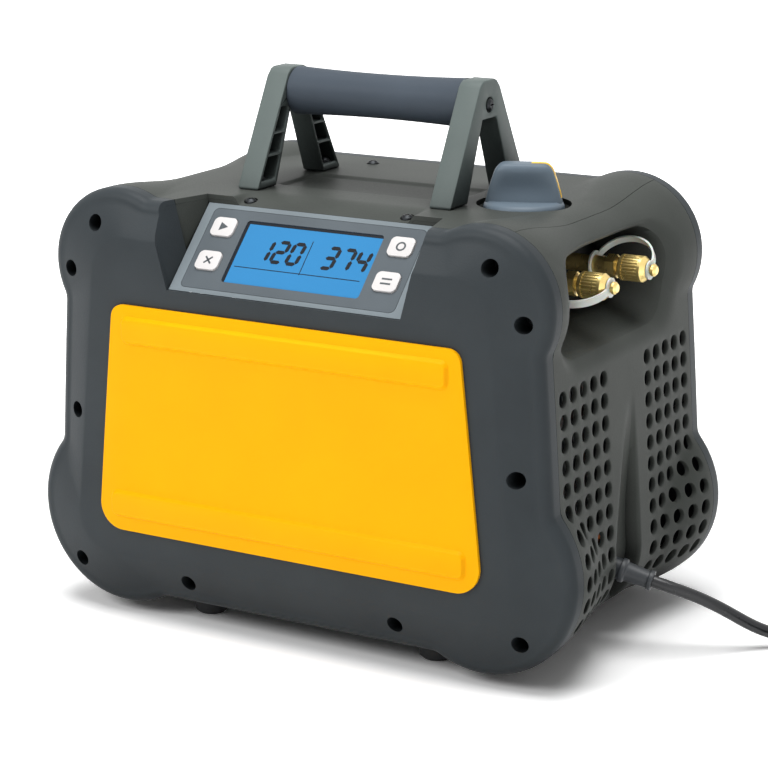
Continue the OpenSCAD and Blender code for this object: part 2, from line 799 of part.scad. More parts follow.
module front_panel() {
    color(yellow) union() {
        upright(-face_y - panel_t, panel_t) panel_outline(0);
        upright(-face_y - panel_t - bar_rise, bar_rise + e) union() {
            raised_bar(bar_low_z);
            raised_bar(bar_high_z);
        }
    }
}

// Frame of the console's face: X across, Y up the slope, Z out of it
module on_console() {
    translate([0, console_y0, console_z0]) rotate([console_tilt, 0, 0]) children();
}

button_places = [
    ["start", [-button_x, button_low + button_pitch]],
    ["clear", [-button_x, button_low]],
    ["zero", [button_x, button_low + button_pitch]],
    ["units", [button_x, button_low]]];
overlay_h = console_len - 2 * overlay_margin;
overlay_r = 4;
face_mid = console_len / 2;
button_gap = 0.4;
button_skirt = 3;

module button_outline(g) { rounded(button_w + 2 * g, button_h + 2 * g, 3.5 + g); }
module lcd_outline(g) { rounded(lcd_w + 2 * g, lcd_h + 2 * g, 2 + g); }

module face_cuts(g, z0, h) {
    for (b = button_places) translate([b[1][0], b[1][1], z0]) linear_extrude(h) button_outline(g);
    translate([0, face_mid, z0]) linear_extrude(h) lcd_outline(g);
}

module display_bezel() {
    color("#757d81") difference() {
        sideways(-console_w / 2, console_w) console_section(0);
        on_console() {
            translate([0, face_mid, -overlay_t]) linear_extrude(10)
                rounded(overlay_w + 2 * seam, overlay_h + 2 * seam, overlay_r);
            face_cuts(button_skirt / 2 + button_gap, -2 * bezel_t, 4 * bezel_t);
        }
    }
}

module display_overlay() {
    color("#5d6368") on_console() difference() {
        translate([0, face_mid, -overlay_t]) linear_extrude(overlay_t)
            rounded(overlay_w, overlay_h, overlay_r - seam);
        face_cuts(button_gap, -2, 4);
    }
}

module lcd_screen() {
    color("#4193d0") on_console() translate([0, face_mid, -overlay_t - lcd_t]) union() {
        linear_extrude(lcd_t + 0.4) lcd_outline(0);
        linear_extrude(lcd_t - 0.5) lcd_outline(button_skirt / 2);
    }
}

// Button: a cap through the overlay, a skirt behind it that stops it, and a plunger
board_z = -bezel_t - 7;
board_t = 1.6;
switch_h = 3.5;
plunger_gap = 0.15;
plunger_z = board_z + switch_h + button_travel + plunger_gap;

module button(i) {
    color("#d9d5d4") on_console() translate([button_places[i][1][0], button_places[i][1][1], 0]) union() {
        translate([0, 0, -overlay_t - 2]) linear_extrude(overlay_t + 2 + button_rise) button_outline(0);
        translate([0, 0, -overlay_t - seam - 2]) linear_extrude(2) button_outline(button_skirt / 2);
        translate([0, 0, plunger_z]) cylinder(d = 5, h = -plunger_z - 2);
    }
}

module start_button() { button(0); }
module clear_button() { button(1); }
module zero_button() { button(2); }
module units_button() { button(3); }

// Board behind the console, on four standoffs
board_w = 150;
board_h = 50;
standoff_x = 54;
standoff_ys = [18, 58];
module control_board() {
    color("#2f6b46") on_console() union() {
        translate([-board_w / 2, face_mid - board_h / 2 + 4, board_z - board_t])
            cube([board_w, board_h, board_t]);
        for (x = [-standoff_x, standoff_x], y = standoff_ys) translate([x, y, board_z - e])
            cylinder(d = 3, h = -board_z - bezel_t - 0.2);
    }
}

module button_switches() {
    color(black) on_console() for (b = button_places) translate([b[1][0], b[1][1], board_z]) {
        translate([-3, -3, 0]) cube([6, 6, switch_h - 1]);
        cylinder(d = 3.4, h = switch_h);
    }
}

// Bar knob: a skirt with a tall wing across it
module at_knob() { translate([knob_x, knob_y, recess_z]) rotate([0, 0, knob_rest]) children(); }
skirt_h = 7;
knob_foot = 0.5;
pointer_w = 3.4;
pointer_t = 1.2;
wing_r = 6;

module wing_face(g) {
    low = knob_d / 2 - 1 + g;
    top = wing_top / 2 + g;
    h = knob_h - skirt_h / 2 + g;
    difference() {
        polygon([[-low, 0], [low, 0], [low - 1.5, h * 0.35], [top + wing_r * 0.45, h - wing_r],
            [top + wing_r * 0.2, h - wing_r * 0.45], [top - wing_r * 0.6, h], [-top + wing_r * 0.6, h],
            [-top - wing_r * 0.2, h - wing_r * 0.45], [-top - wing_r * 0.45, h - wing_r],
            [-low + 1.5, h * 0.35]]);
        translate([-big / 2, -big]) square(big);
    }
}

module wing(t, g) {
    translate([0, 0, skirt_h / 2]) rotate([90, 0, 0]) linear_extrude(t, center = true) wing_face(g);
}

module selector_knob() {
    color("#44505a") at_knob() difference() {
        union() {
            rotate_extrude() polygon([[0, knob_foot], [knob_d / 2, knob_foot], [knob_d / 2, skirt_h - 2],
                [knob_d / 2 - 3, skirt_h], [0, skirt_h]]);
            wing(wing_t, 0);
        }
        translate([0, 0, -1]) cylinder(d = spindle_d + 0.1, h = 15);
        pointer_strip(0.05);
    }
}

// Strip let into the top and the end of the wing
module pointer_strip(g) {
    intersection() {
        difference() {
            wing(pointer_w + 2 * g, 0);
            wing(pointer_w + 4, -pointer_t - g);
        }
        translate([wing_top / 4, -big / 2, skirt_h + 3 - g]) cube(big);
    }
}

module knob_pointer() {
    color("#ffc800") at_knob() pointer_strip(0);
}

// Valve block under the deck: spindle up to the knob, ports out to the bay
block_x1 = bay_x - wall - seam;
block_x0 = knob_x - 24;
block_top = recess_z - wall - 9;
block_bottom = port_z - 20;
block_y0 = port_y - port_pitch / 2 - 13;
block_y1 = port_y + port_pitch / 2 + 13;

spindle_in = 12;
spindle_up = 13;

module valve_spindle() {
    color(steel_grey) at_knob() translate([0, 0, block_top - recess_z - spindle_in])
        cylinder(d = spindle_d, h = spindle_in + recess_z - block_top + spindle_up);
}

module valve_block() {
    color(brass) difference() {
        union() {
            translate([block_x0, block_y0, block_bottom])
                cube([block_x1 - block_x0, block_y1 - block_y0, block_top - block_bottom]);
            for (s = [-1, 1]) translate([knob_x - 16, knob_y + s * 20, block_top - e])
                cylinder(d = 10, h = recess_z - wall - block_top + e);
        }
        translate([knob_x, knob_y, block_top - spindle_in - 1]) cylinder(d = spindle_d + 0.1, h = 30);
        for (s = [-1, 1]) along_x(block_x1 - 10, port_y + s * port_pitch / 2, port_z, pipe_d + 0.1, 20);
        for (y = pipe_ys) along_x(block_x0 - 1, y, port_z, sensor_d + 0.1, 9);
        for (y = pipe_ys) translate([block_x0 + 8, y, block_bottom - 1]) cylinder(d = coil_d + 0.1, h = 9);
    }
}

// Flare port: pipe, hexagon, flare nipple
port_tip = port_x - 6;
port_nut = port_tip - cap_len - 9;
module port(s) {
    color(brass) translate([0, port_y + s * port_pitch / 2, port_z]) rotate([0, 90, 0]) union() {
        translate([0, 0, block_x1 - 10]) cylinder(d = pipe_d, h = port_nut - block_x1 + 10 + e);
        translate([0, 0, port_nut]) cylinder(d = 16, h = 6.5, $fn = 6);
        translate([0, 0, port_nut + 6.5 - e]) cylinder(d = flare_d - 2, h = 3);
        translate([0, 0, port_nut + 9]) cylinder(d = flare_d, h = 11);
        translate([0, 0, port_nut + 20 - e]) cylinder(d1 = flare_d - 0.5, d2 = flare_d - 5, h = 3.5);
    }
}

module inlet_port() { port(-1); }
module outlet_port() { port(1); }

// Knurled cap with a button on its nose that the strap clips over
cap_x = port_tip - cap_len;
cap_flutes = 24;
nose_neck = 5.5;
module port_cap(s) {
    color(brass) translate([cap_x, port_y + s * port_pitch / 2, port_z]) rotate([0, 90, 0]) difference() {
        union() {
            difference() {
                rotate_extrude() polygon([[0, 0], [cap_d / 2 - 1, 0], [cap_d / 2, 1],
                    [cap_d / 2, cap_len - 3], [cap_d / 2 - 2.5, cap_len], [0, cap_len]]);
                for (i = [0:cap_flutes - 1]) rotate([0, 0, i * 360 / cap_flutes])
                    translate([cap_d / 2 + 0.3, 0, 3]) cylinder(d = 1.6, h = cap_len - 8);
            }
            translate([0, 0, cap_len - e]) cylinder(d = nose_neck, h = 3 + e);
            translate([0, 0, cap_len + 3]) rotate_extrude()
                polygon([[0, 0], [4, 0], [4, 1.5], [2.5, 3], [0, 3]]);
        }
        translate([0, 0, -1]) cylinder(d = flare_d + 0.1, h = 17);
    }
}

module inlet_cap() { port_cap(-1); }
module outlet_cap() { port_cap(1); }

// Strap: an eye round the cap's nose, a bow beside the cap, a ring round the pipe
strap_w = 5;
strap_t = 1.2;
eye_x = port_tip + 0.6;
pipe_ring_x = port_nut - 10.5;
bow_lift = 4;
bow_r = (eye_x - pipe_ring_x + strap_t) / 2;
module cap_strap(s, turn) {
    color("#cfd4cf") translate([0, port_y + s * port_pitch / 2, port_z]) rotate([turn, 0, 0]) difference() {
        union() {
            along_x(eye_x, 0, 0, nose_neck + 7, strap_t);
            along_x(pipe_ring_x, 0, 0, pipe_d + 6, strap_t);
            for (x = [eye_x, pipe_ring_x]) translate([x, 0, -strap_w / 2])
                cube([strap_t, bow_lift + e, strap_w]);
            translate([(eye_x + strap_t + pipe_ring_x) / 2, bow_lift, -strap_w / 2])
                rotate_extrude(angle = 180) translate([bow_r - strap_t, 0]) square([strap_t, strap_w]);
        }
        along_x(eye_x - 1, 0, 0, nose_neck + 0.6, strap_t + 2);
        along_x(pipe_ring_x - 1, 0, 0, pipe_d + 0.6, strap_t + 2);
    }
}
module inlet_cap_strap() { cap_strap(-1, 200); }
module outlet_cap_strap() { cap_strap(1, 40); }

// Handle bracket: an A-shaped frame, hollowed from its inner side into channels
tube_z = handle_h - grip_d / 2 - 1.5;
function leg_out(h) = mix(bracket_span / 2, bracket_top / 2, h / handle_h);
function leg_in(h) = leg_out(h) - mix(leg_foot, leg_top, h / leg_open_h);
leg_floor = 5;
rib_hs = [20, 34];

module leg_pocket(h0, h1) {
    for (s = [-1, 1]) scale([s, 1]) polygon([
        [leg_in(h0) + leg_web, h0], [leg_out(h0) - leg_web, h0],
        [leg_out(h1) - leg_web, h1], [leg_in(h1) + leg_web, h1]]);
}

module bracket_profile() {
    difference() {
        union() {
            polygon([[-leg_out(0), 0], [leg_out(0), 0], [leg_out(handle_h - 4), handle_h - 4],
                [leg_out(handle_h - 1.2) - 1.4, handle_h - 1.2], [leg_out(handle_h) - 4, handle_h],
                [-leg_out(handle_h) + 4, handle_h], [-leg_out(handle_h - 1.2) + 1.4, handle_h - 1.2],
                [-leg_out(handle_h - 4), handle_h - 4]]);
        }
        polygon([[-leg_in(-1), -1], [leg_in(-1), -1], [leg_in(leg_open_h), leg_open_h],
            [-leg_in(leg_open_h), leg_open_h]]);
    }
}

module handle_bracket() {
    color(slate) difference() {
        translate([handle_w / 2 - bracket_t, handle_y, handle_z]) rotate([90, 0, 90]) difference() {
            linear_extrude(bracket_t) bracket_profile();
            translate([0, 0, -e]) linear_extrude(bracket_t - leg_web) union() {
                leg_pocket(leg_floor, rib_hs[0]);
                leg_pocket(rib_hs[0] + 2, rib_hs[1]);
                leg_pocket(rib_hs[1] + 2, leg_open_h);
            }
            translate([0, tube_z, -e]) cylinder(d = tube_d + 0.1, h = bracket_t - leg_web);
            translate([0, tube_z, 0]) cylinder(d = screw_d + 2 * seam, h = bracket_t + 1);
            translate([0, tube_z, bracket_t - leg_web / 2]) cylinder(d = screw_head_d + 1, h = bracket_t);
        }
        for (y = foot_ys) translate([foot_x, y, handle_z - 1])
            cylinder(d = screw_d + 2 * seam, h = leg_floor + 2);
    }
}

module handle_bracket_right() { handle_bracket(); }
module handle_bracket_left() { mirror([1, 0, 0]) handle_bracket(); }

// Grip: a revolved sleeve, slimmer in the middle
grip_half = handle_w / 2 - bracket_t - seam;
grip_steps = 12;
grip_bore_r = tube_d / 2 + 0.1;
module handle_grip() {
    swell = [for (i = [-grip_steps:grip_steps]) let (t = i / grip_steps)
        [grip_d / 2 + grip_swell * t * t, t * grip_half]];
    color("#3d444c") translate([0, handle_y, handle_z + tube_z]) rotate([0, 90, 0]) rotate_extrude()
        polygon(concat([[grip_bore_r, -grip_half]], swell, [[grip_bore_r, grip_half]]));
}

module handle_tube() {
    color(steel_grey) difference() {
        half = handle_w / 2 - leg_web - seam;
        along_x(-half, handle_y, handle_z + tube_z, tube_d, 2 * half);
        along_x(-half - 1, handle_y, handle_z + tube_z, screw_d + 0.2, 2 * half + 2);
    }
}

// Pan-head screw pointing down its own -Z from the underside of its head
module pan_screw(len) {
    translate([0, 0, -len]) cylinder(d = screw_d, h = len + e);
    difference() {
        rotate_extrude() polygon([[0, 0], [screw_head_d / 2, 0], [screw_head_d / 2, screw_head_t - 1.5],
            [screw_head_d / 2 - 1.5, screw_head_t], [0, screw_head_t]]);
        for (a = [0, 90]) rotate([0, 0, a]) translate([-2.2, -0.5, screw_head_t - 1.4]) cube([4.4, 1, 2]);
    }
}

module handle_screws() {
    color(steel_grey) mirrored() {
        for (y = foot_ys) translate([foot_x, y, handle_z + leg_floor]) pan_screw(leg_floor + 10);
        translate([handle_w / 2 - leg_web / 2, handle_y, handle_z + tube_z]) rotate([0, 90, 0])
            pan_screw(14);
    }
}

module cover_screw_set() {
    mirrored() for (p = cover_screws) translate([p[0], -screw_seat - wall, p[1]]) rotate([90, 0, 0])
        pan_screw(screw_len);
}

module front_cover_screws() { color(steel_grey) cover_screw_set(); }
module rear_cover_screws() { color(steel_grey) mirror([0, 1, 0]) cover_screw_set(); }

module top_cover_screws() {
    color(steel_grey) mirrored() for (p = deck_screws) translate([p[0], p[1], deck_seat(p)])
        pan_screw(deck_screw_len);
}

// Machinery: rubber mounts, rails, compressor, motor and fan on one shaft along X
mount_xs = [-92, 46];
mount_y = 44;
mount_d = 20;
mount_h = 10;
mount_stud_d = 6;
rail_z = chassis_top + mount_h;
rail_t = 3;
rail_top = rail_z + rail_t;
shaft_z = chassis_top + shaft_h;
motor_x0 = -34;
motor_x1 = motor_x0 + motor_len;
case_w = 72;
case_x = motor_x0 - case_w - 0.5;
case_y = 34;
barrel_y = 62;
head_y = 78;

module motor_mounts() {
    color(black) for (x = mount_xs, s = [-1, 1]) translate([x, s * mount_y, 0]) {
        translate([0, 0, chassis_top]) rotate_extrude() polygon([[0, 0], [mount_d / 2, 0],
            [mount_d / 2 - 2, mount_h / 2], [mount_d / 2, mount_h], [0, mount_h]]);
        translate([0, 0, chassis_z + 0.2]) cylinder(d = mount_stud_d, h = chassis_t);
        translate([0, 0, rail_z - e]) cylinder(d = mount_stud_d, h = rail_t - 0.2);
    }
}

rail_w = 24;
saddle_h = 30;
module mount_rails() {
    color(steel_grey) for (s = [-1, 1]) difference() {
        union() {
            translate([mount_xs[0] - 16, s * mount_y - rail_w / 2, rail_z])
                cube([mount_xs[1] - mount_xs[0] + 32, rail_w, rail_t]);
            translate([motor_x0 + 20, s * mount_y - rail_t / 2, rail_top - e])
                cube([motor_len - 40, rail_t, saddle_h]);
        }
        for (x = mount_xs) translate([x, s * mount_y, rail_z - 1])
            cylinder(d = mount_stud_d + 0.2, h = rail_t + 2);
        along_x(motor_x0, 0, shaft_z, motor_d + 0.2, motor_len);
    }
}

module motor_housing() {
    fins = 28;
    color("#3b4045") difference() {
        union() {
            along_x(motor_x0, 0, shaft_z, motor_d - 6, motor_len);
            along_x(motor_x0, 0, shaft_z, motor_d, 12);
            along_x(motor_x1 - 12, 0, shaft_z, motor_d, 12);
            for (i = [0:fins - 1]) translate([motor_x0 + 6, 0, shaft_z]) rotate([i * 360 / fins, 0, 0])
                translate([0, -1, motor_d / 2 - 8]) cube([motor_len - 12, 2, 7]);
        }
        along_x(motor_x0 - 1, 0, shaft_z, shaft_d + 0.1, motor_len + 2);
    }
}

fan_x = motor_x1 + 14;
fan_t = 22;
module motor_shaft() {
    color(steel_grey) along_x(case_x + 8, 0, shaft_z, shaft_d, fan_x + fan_t + 3 - case_x - 8);
}

module crankcase() {
    color("#9aa0a3") difference() {
        union() {
            translate([case_x, -case_y, rail_top]) cube([case_w, 2 * case_y, shaft_z + case_y - rail_top]);
            translate([case_x, -mount_y - rail_w / 2, rail_top])
                cube([case_w - 12, 2 * mount_y + rail_w, 6]);
            for (s = [-1, 1]) scale([1, s, 1]) {
                along_y(case_x + case_w / 2, case_y - e, shaft_z, cylinder_d, barrel_y - case_y);
                for (i = [0:4])
                    along_y(case_x + case_w / 2, case_y + 3 + i * 5, shaft_z, cylinder_d + 14, 2);
            }
        }
        along_x(case_x + 6, 0, shaft_z, shaft_d + 0.1, case_w);
        for (x = mount_xs, s = [-1, 1]) translate([x, s * mount_y, rail_top - 1])
            cylinder(d = mount_stud_d + 6, h = 9);
    }
}

module cylinder_heads() {
    x = case_x + case_w / 2;
    color("#83898c") for (s = [-1, 1]) scale([1, s, 1]) difference() {
        union() {
            along_y(x, barrel_y, shaft_z, cylinder_d + 16, 8);
            for (i = [-2:2]) translate([x + i * 9 - 1.5, barrel_y + 8 - e, shaft_z - 22])
                cube([3, head_y - barrel_y - 8, 44]);
        }
        translate([x, barrel_y + 4, shaft_z + cylinder_d / 2]) cylinder(d = coil_d + 0.1, h = 20);
    }
}

// Fan with pitched blades on a round hub
module fan() {
    hub_d = 44;
    color(black) translate([fan_x, 0, shaft_z]) rotate([0, 90, 0]) difference() {
        union() {
            cylinder(d = hub_d, h = fan_t);
            intersection() {
                translate([0, 0, e]) cylinder(d = fan_d, h = fan_t - 2 * e);
                for (i = [0:fan_blades - 1]) rotate([0, 0, i * 360 / fan_blades])
                    translate([0, 0, fan_t / 2]) rotate([32, 0, 0]) translate([hub_d / 2 - 4, -20, -1.2])
                        cube([fan_d / 2 - hub_d / 2 + 8, 40, 2.4]);
            }
        }
        translate([0, 0, -1]) cylinder(d = shaft_d + 0.1, h = fan_t + 2);
    }
}

shroud_x = fan_x - 4;
shroud_t = 2;
shroud_half = 78;
shroud_top = shaft_z + fan_d / 2 + fan_gap + 8;
module fan_shroud() {
    inner = fan_d + 2 * fan_gap;
    color(black) difference() {
        union() {
            translate([shroud_x, -shroud_half, chassis_top])
                cube([shroud_t, 2 * shroud_half, shroud_top - chassis_top]);
            intersection() {
                along_x(shroud_x, 0, shaft_z, inner + 5, fan_t + 8);
                translate([shroud_x, -big / 2, chassis_top]) cube(big);
            }
        }
        along_x(shroud_x - 1, 0, shaft_z, inner, fan_t + 20);
    }
}

// Condenser: a serpentine of tubes along Y through a stack of fins
coil_x = fan_x + fan_t + 18;
coil_rows = 6;
coil_z0 = chassis_top + 16;
coil_half = part_y - 40.5;
fin_w = 20;
function coil_z(i) = coil_z0 + i * coil_pitch;

module u_bend(y, z, side) {
    translate([coil_x, y, z + coil_pitch / 2]) rotate([0, 90, 0]) rotate([0, 0, side > 0 ? 0 : 180])
        rotate_extrude(angle = 180) translate([coil_pitch / 2, 0]) circle(d = coil_d);
}

module condenser_tubes() {
    color(copper) union() {
        for (i = [0:coil_rows - 1])
            along_y(coil_x, -coil_half - e, coil_z(i), coil_d, 2 * coil_half + 2 * e);
        for (i = [0:coil_rows - 2]) let (side = i % 2 == 0 ? -1 : 1)
            u_bend(side * coil_half, coil_z(i), side);
    }
}

module condenser_fins() {
    pitch = 2 * (coil_half - 3) / (fin_count - 1);
    color("#b9bec1") for (i = [0:fin_count - 1]) difference() {
        translate([coil_x - fin_w / 2, -coil_half + 3 + i * pitch - 0.3, chassis_top])
            cube([fin_w, 0.6, coil_z(coil_rows - 1) + 12 - chassis_top]);
        for (j = [0:coil_rows - 1]) along_y(coil_x, -coil_half, coil_z(j), coil_d + 0.1, 2 * coil_half);
    }
}

// Copper pipes between the valve block, the compressor heads and the condenser
pipe_ys = [block_y0 + 16, block_y1 - 16];
sensor_d = 10;

// Pipe along corner points with round bends
module bent_pipe(points, d, r) {
    for (i = [0:len(points) - 2]) {
        a = points[i];
        b = points[i + 1];
        u = (b - a) / norm(b - a);
        cut0 = i == 0 ? 0 : r;
        cut1 = i == len(points) - 2 ? 0 : r;
        pipe_run(a + u * cut0, b - u * cut1, d);
        if (i < len(points) - 2) {
            v = (points[i + 2] - b) / norm(points[i + 2] - b);
            pipe_bend(b, u, v, d, r);
        }
    }
}

module pipe_run(a, b, d) {
    v = b - a;
    translate(a) rotate([0, acos(v[2] / norm(v)), atan2(v[1], v[0])]) cylinder(d = d, h = norm(v));
}

// Quarter bend at a corner, from direction u to direction v
module pipe_bend(corner, u, v, d, r) {
    w = cross(u, v);
    multmatrix([[v[0], -u[0], w[0], corner[0] - u[0] * r + v[0] * r],
            [v[1], -u[1], w[1], corner[1] - u[1] * r + v[1] * r],
            [v[2], -u[2], w[2], corner[2] - u[2] * r + v[2] * r],
            [0, 0, 0, 1]])
        rotate([0, 0, 180]) rotate_extrude(angle = 90) translate([r, 0]) circle(d = d);
}

head_x = case_x + case_w / 2;
head_pipe_y = barrel_y + 4;
pipe_r = 12;
pipe_top_z = shaft_z + 93;
coil_pipe_y = head_pipe_y + 2 * pipe_r + 4;
coil_end_y = coil_half + seam;
coil_reach = 2 * pipe_r + 4;
return_x = coil_x + coil_reach;
return_y = coil_end_y + coil_reach;
return_z = pipe_top_z + 8;
block_pipe_x = block_x0 + 8;

module suction_pipe() {
    color(copper) bent_pipe([
        [head_x, -head_pipe_y, shaft_z + cylinder_d / 2 + 8.2], [head_x, -head_pipe_y, pipe_top_z],
        [block_pipe_x, -head_pipe_y, pipe_top_z], [block_pipe_x, pipe_ys[0], pipe_top_z],
        [block_pipe_x, pipe_ys[0], block_bottom + 7]], coil_d, pipe_r);
}

discharge_z = coil_z(coil_rows - 1) + 2 * pipe_r + 4;
module discharge_pipe() {
    color(copper) bent_pipe([
        [head_x, head_pipe_y, shaft_z + cylinder_d / 2 + 8.2], [head_x, head_pipe_y, discharge_z],
        [head_x, coil_pipe_y, discharge_z], [coil_x, coil_pipe_y, discharge_z],
        [coil_x, coil_pipe_y, coil_z(coil_rows - 1)],
        [coil_x, coil_end_y, coil_z(coil_rows - 1)]], coil_d, pipe_r);
}

module return_pipe() {
    color(copper) bent_pipe([
        [coil_x, coil_end_y, coil_z(0)], [coil_x, return_y, coil_z(0)],
        [return_x, return_y, coil_z(0)], [return_x, return_y, return_z],
        [block_pipe_x, return_y, return_z], [block_pipe_x, pipe_ys[1], return_z],
        [block_pipe_x, pipe_ys[1], block_bottom + 7]], coil_d, pipe_r);
}

module pressure_sensors() {
    color(brass) for (y = pipe_ys) {
        along_x(block_x0 - 22, y, port_z, sensor_d, 29);
        along_x(block_x0 - 10, y, port_z, sensor_d + 6, 9);
    }
}

// Power electronics, standing on the chassis behind the compressor
board_x = case_x - 6;
power_h = 130;
sink_gap = 0.2;
can_d = 22;
can_len = 26;
can_z = chassis_top + 100;
can_pitch = 40;
module power_board() {
    color("#2f6b46") union() {
        translate([board_x, -chassis_y, chassis_top]) cube([board_t, 2 * chassis_y, power_h]);
        for (i = [-1:1]) along_x(board_x - can_len, i * can_pitch, can_z, can_d, can_len + e);
    }
}

sink_half = 55;
sink_t = 4;
sink_h = 50;
sink_z = chassis_top + 14;
rib_count = 11;
rib_len = 16;
rib_t = 2;
module heat_sink() {
    step = (2 * sink_half - rib_t) / (rib_count - 1);
    sink_x = board_x - sink_gap - sink_t;
    color("#a5aaad") union() {
        translate([sink_x, -sink_half, sink_z]) cube([sink_t, 2 * sink_half, sink_h]);
        for (i = [0:rib_count - 1]) translate([sink_x - rib_len, -sink_half + i * step, sink_z])
            cube([rib_len + e, rib_t, sink_h]);
    }
}

// Strain relief in the foot of the cord groove
relief_at = [side_x(58) - groove_depth, groove_y0 + 16, 55];
relief_turn = [0, 15, 12];
relief_len = 26;
module at_relief() { translate(relief_at) rotate(relief_turn) rotate([0, 90, 0]) children(); }
module relief_hole() { at_relief() translate([0, 0, -12]) cylinder(d = 14 + 2 * seam, h = 40); }

module strain_relief() {
    color("#2b3033") at_relief() difference() {
        rotate_extrude() polygon([[0, -13], [10, -13], [10, -9], [7, -9], [7, 4], [8, 4], [8, 7], [6.5, 8],
            [5.6, relief_len - 3], [6.6, relief_len - 3], [6.6, relief_len], [0, relief_len]]);
        translate([0, 0, -14]) cylinder(d = cord_d + 0.1, h = relief_len + 20);
    }
}

// The cord's free stretch, its coil, tie and plug
lead = [[-3.4, -0.7, 0.9], [10.6, 2.2, -2.9], [24.6, 5.2, -6.7], [32.6, 7, -9], [41.6, 11, -12],
    [54.6, 20.5, -19], [67.6, 31.5, -29], [78.6, 41.5, -39], [90.6, 51.5, -46], [103.6, 62.5, -49.4],
    [116.6, 73.5, -50], [129.6, 84.5, -50]];
route = [for (p = lead) relief_at + p];
cord_sides = 10;
function unit(v) = v / norm(v);
function route_dir(i) = unit(route[min(i + 1, len(route) - 1)] - route[max(i - 1, 0)]);
function route_ring(i) = let (u = route_dir(i), a = unit(cross(u, [0, 0, 1])), b = cross(a, u))
    [for (k = [0:cord_sides - 1]) let (t = 360 * k / cord_sides)
        route[i] + cord_d / 2 * (a * cos(t) + b * sin(t))];

module power_cord() {
    color(black) loft([for (i = [0:len(route) - 1]) route_ring(i)]);
}

coil_at = [relief_at[0] + 160.6, relief_at[1] + 42.5];
coil_turns = [3, 2];
tie_t = 0.8;
tie_gap = 0.2;
coil_size = coil_turns * cord_d;
coil_z0_floor = tie_t + tie_gap;

// Outline of the wound cord, grown by g
module coil_outline(g) {
    rounded(coil_size[0] + 2 * g, coil_size[1] + 2 * g, cord_d / 2 + g);
}

module at_coil() {
    translate([coil_at[0], coil_at[1], coil_z0_floor + coil_size[1] / 2]) children();
}

module cord_coil() {
    color(black) at_coil() rotate_extrude() translate([coil_r, 0]) coil_outline(0);
}

tie_at = 250;
tie_angle = 14;
module cord_tie() {
    color("#2b2d2f") at_coil() rotate([0, 0, tie_at]) rotate_extrude(angle = tie_angle)
        translate([coil_r, 0]) difference() {
            coil_outline(tie_gap + tie_t);
            coil_outline(tie_gap);
        }
}

// Plug beside the coil, on a tail of cord from its outer turn
tail_len = 52;
pin_len = 17;
plug_len = 36;
plug_at = [coil_at[0] + coil_r + cord_d, coil_at[1] - tail_len, coil_z0_floor + 1.5 * cord_d];
module plug() {
    color(black) translate(plug_at) rotate([90, 0, 0]) union() {
        translate([0, 0, -tail_len]) cylinder(d = cord_d, h = tail_len);
        rotate_extrude() polygon([[0, -14], [5, -14], [6.5, 0], [12.5, 12], [12.5, plug_len - 2],
            [11.5, plug_len], [0, plug_len]]);
        for (s = [-1, 1]) translate([s * 6.3 - 0.75, -3, plug_len - e]) cube([1.5, 6, pin_len]);
        translate([0, -8, plug_len - e]) cylinder(d = 4.8, h = pin_len + 2);
    }
}

front_cover();
rear_cover();
top_cover();
right_side_panel();
left_side_panel();
base_tray();
chassis_plate();
front_panel();
display_bezel();
display_overlay();
lcd_screen();
start_button();
clear_button();
zero_button();
units_button();
control_board();
button_switches();
selector_knob();
knob_pointer();
valve_spindle();
valve_block();
inlet_port();
outlet_port();
inlet_cap();
outlet_cap();
inlet_cap_strap();
outlet_cap_strap();
handle_bracket_left();
handle_bracket_right();
handle_grip();
handle_tube();
handle_screws();
front_cover_screws();
rear_cover_screws();
top_cover_screws();
feet();
foot_screws();
motor_housing();
motor_shaft();
fan();
fan_shroud();
crankcase();
cylinder_heads();
condenser_tubes();
condenser_fins();
motor_mounts();
mount_rails();
suction_pipe();
discharge_pipe();
return_pipe();
pressure_sensors();
power_board();
heat_sink();
strain_relief();
power_cord();
cord_coil();
cord_tie();
plug();
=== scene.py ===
"""Portable refrigerant recovery machine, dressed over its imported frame.

Sizes are millimetres in the part's own frame: +X to the ports, -Y to the front, +Z up.
"""
import logging
import math
from collections.abc import Callable
from dataclasses import dataclass
from enum import Enum

import bmesh
import bpy
import numpy as np
from mathutils import Matrix


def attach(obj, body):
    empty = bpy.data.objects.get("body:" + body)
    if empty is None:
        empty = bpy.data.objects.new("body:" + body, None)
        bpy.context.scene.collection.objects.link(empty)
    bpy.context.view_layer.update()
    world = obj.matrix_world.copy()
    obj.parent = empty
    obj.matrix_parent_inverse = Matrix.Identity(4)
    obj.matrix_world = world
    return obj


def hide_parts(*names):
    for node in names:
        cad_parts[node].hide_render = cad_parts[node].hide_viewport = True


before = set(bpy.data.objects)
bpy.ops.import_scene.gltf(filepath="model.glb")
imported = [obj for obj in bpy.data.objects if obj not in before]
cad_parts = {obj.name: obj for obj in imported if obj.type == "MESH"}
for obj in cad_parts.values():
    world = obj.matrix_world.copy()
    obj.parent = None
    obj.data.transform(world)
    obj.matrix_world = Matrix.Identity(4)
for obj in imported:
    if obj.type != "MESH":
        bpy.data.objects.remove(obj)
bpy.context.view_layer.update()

LOG = logging.getLogger("recovery_machine")
MM = 0.001
HOUSING = "housing"
Place = Callable[[np.ndarray, np.ndarray, np.ndarray], np.ndarray]
Skin = Callable[[np.ndarray, np.ndarray], np.ndarray]


# Small tools for colours, nodes and lines

def linear(colour: str) -> tuple[float, float, float, float]:
    """Turn an sRGB hex colour into linear light.

    Args:
        colour: six hex digits after a hash.

    Returns:
        Linear red, green and blue, with full alpha.
    """
    value = np.array([int(colour[i:i + 2], 16) for i in (1, 3, 5)]) / 255
    light = np.where(value <= 0.04045, value / 12.92, ((value + 0.055) / 1.055) ** 2.4)
    return (*light.tolist(), 1.0)


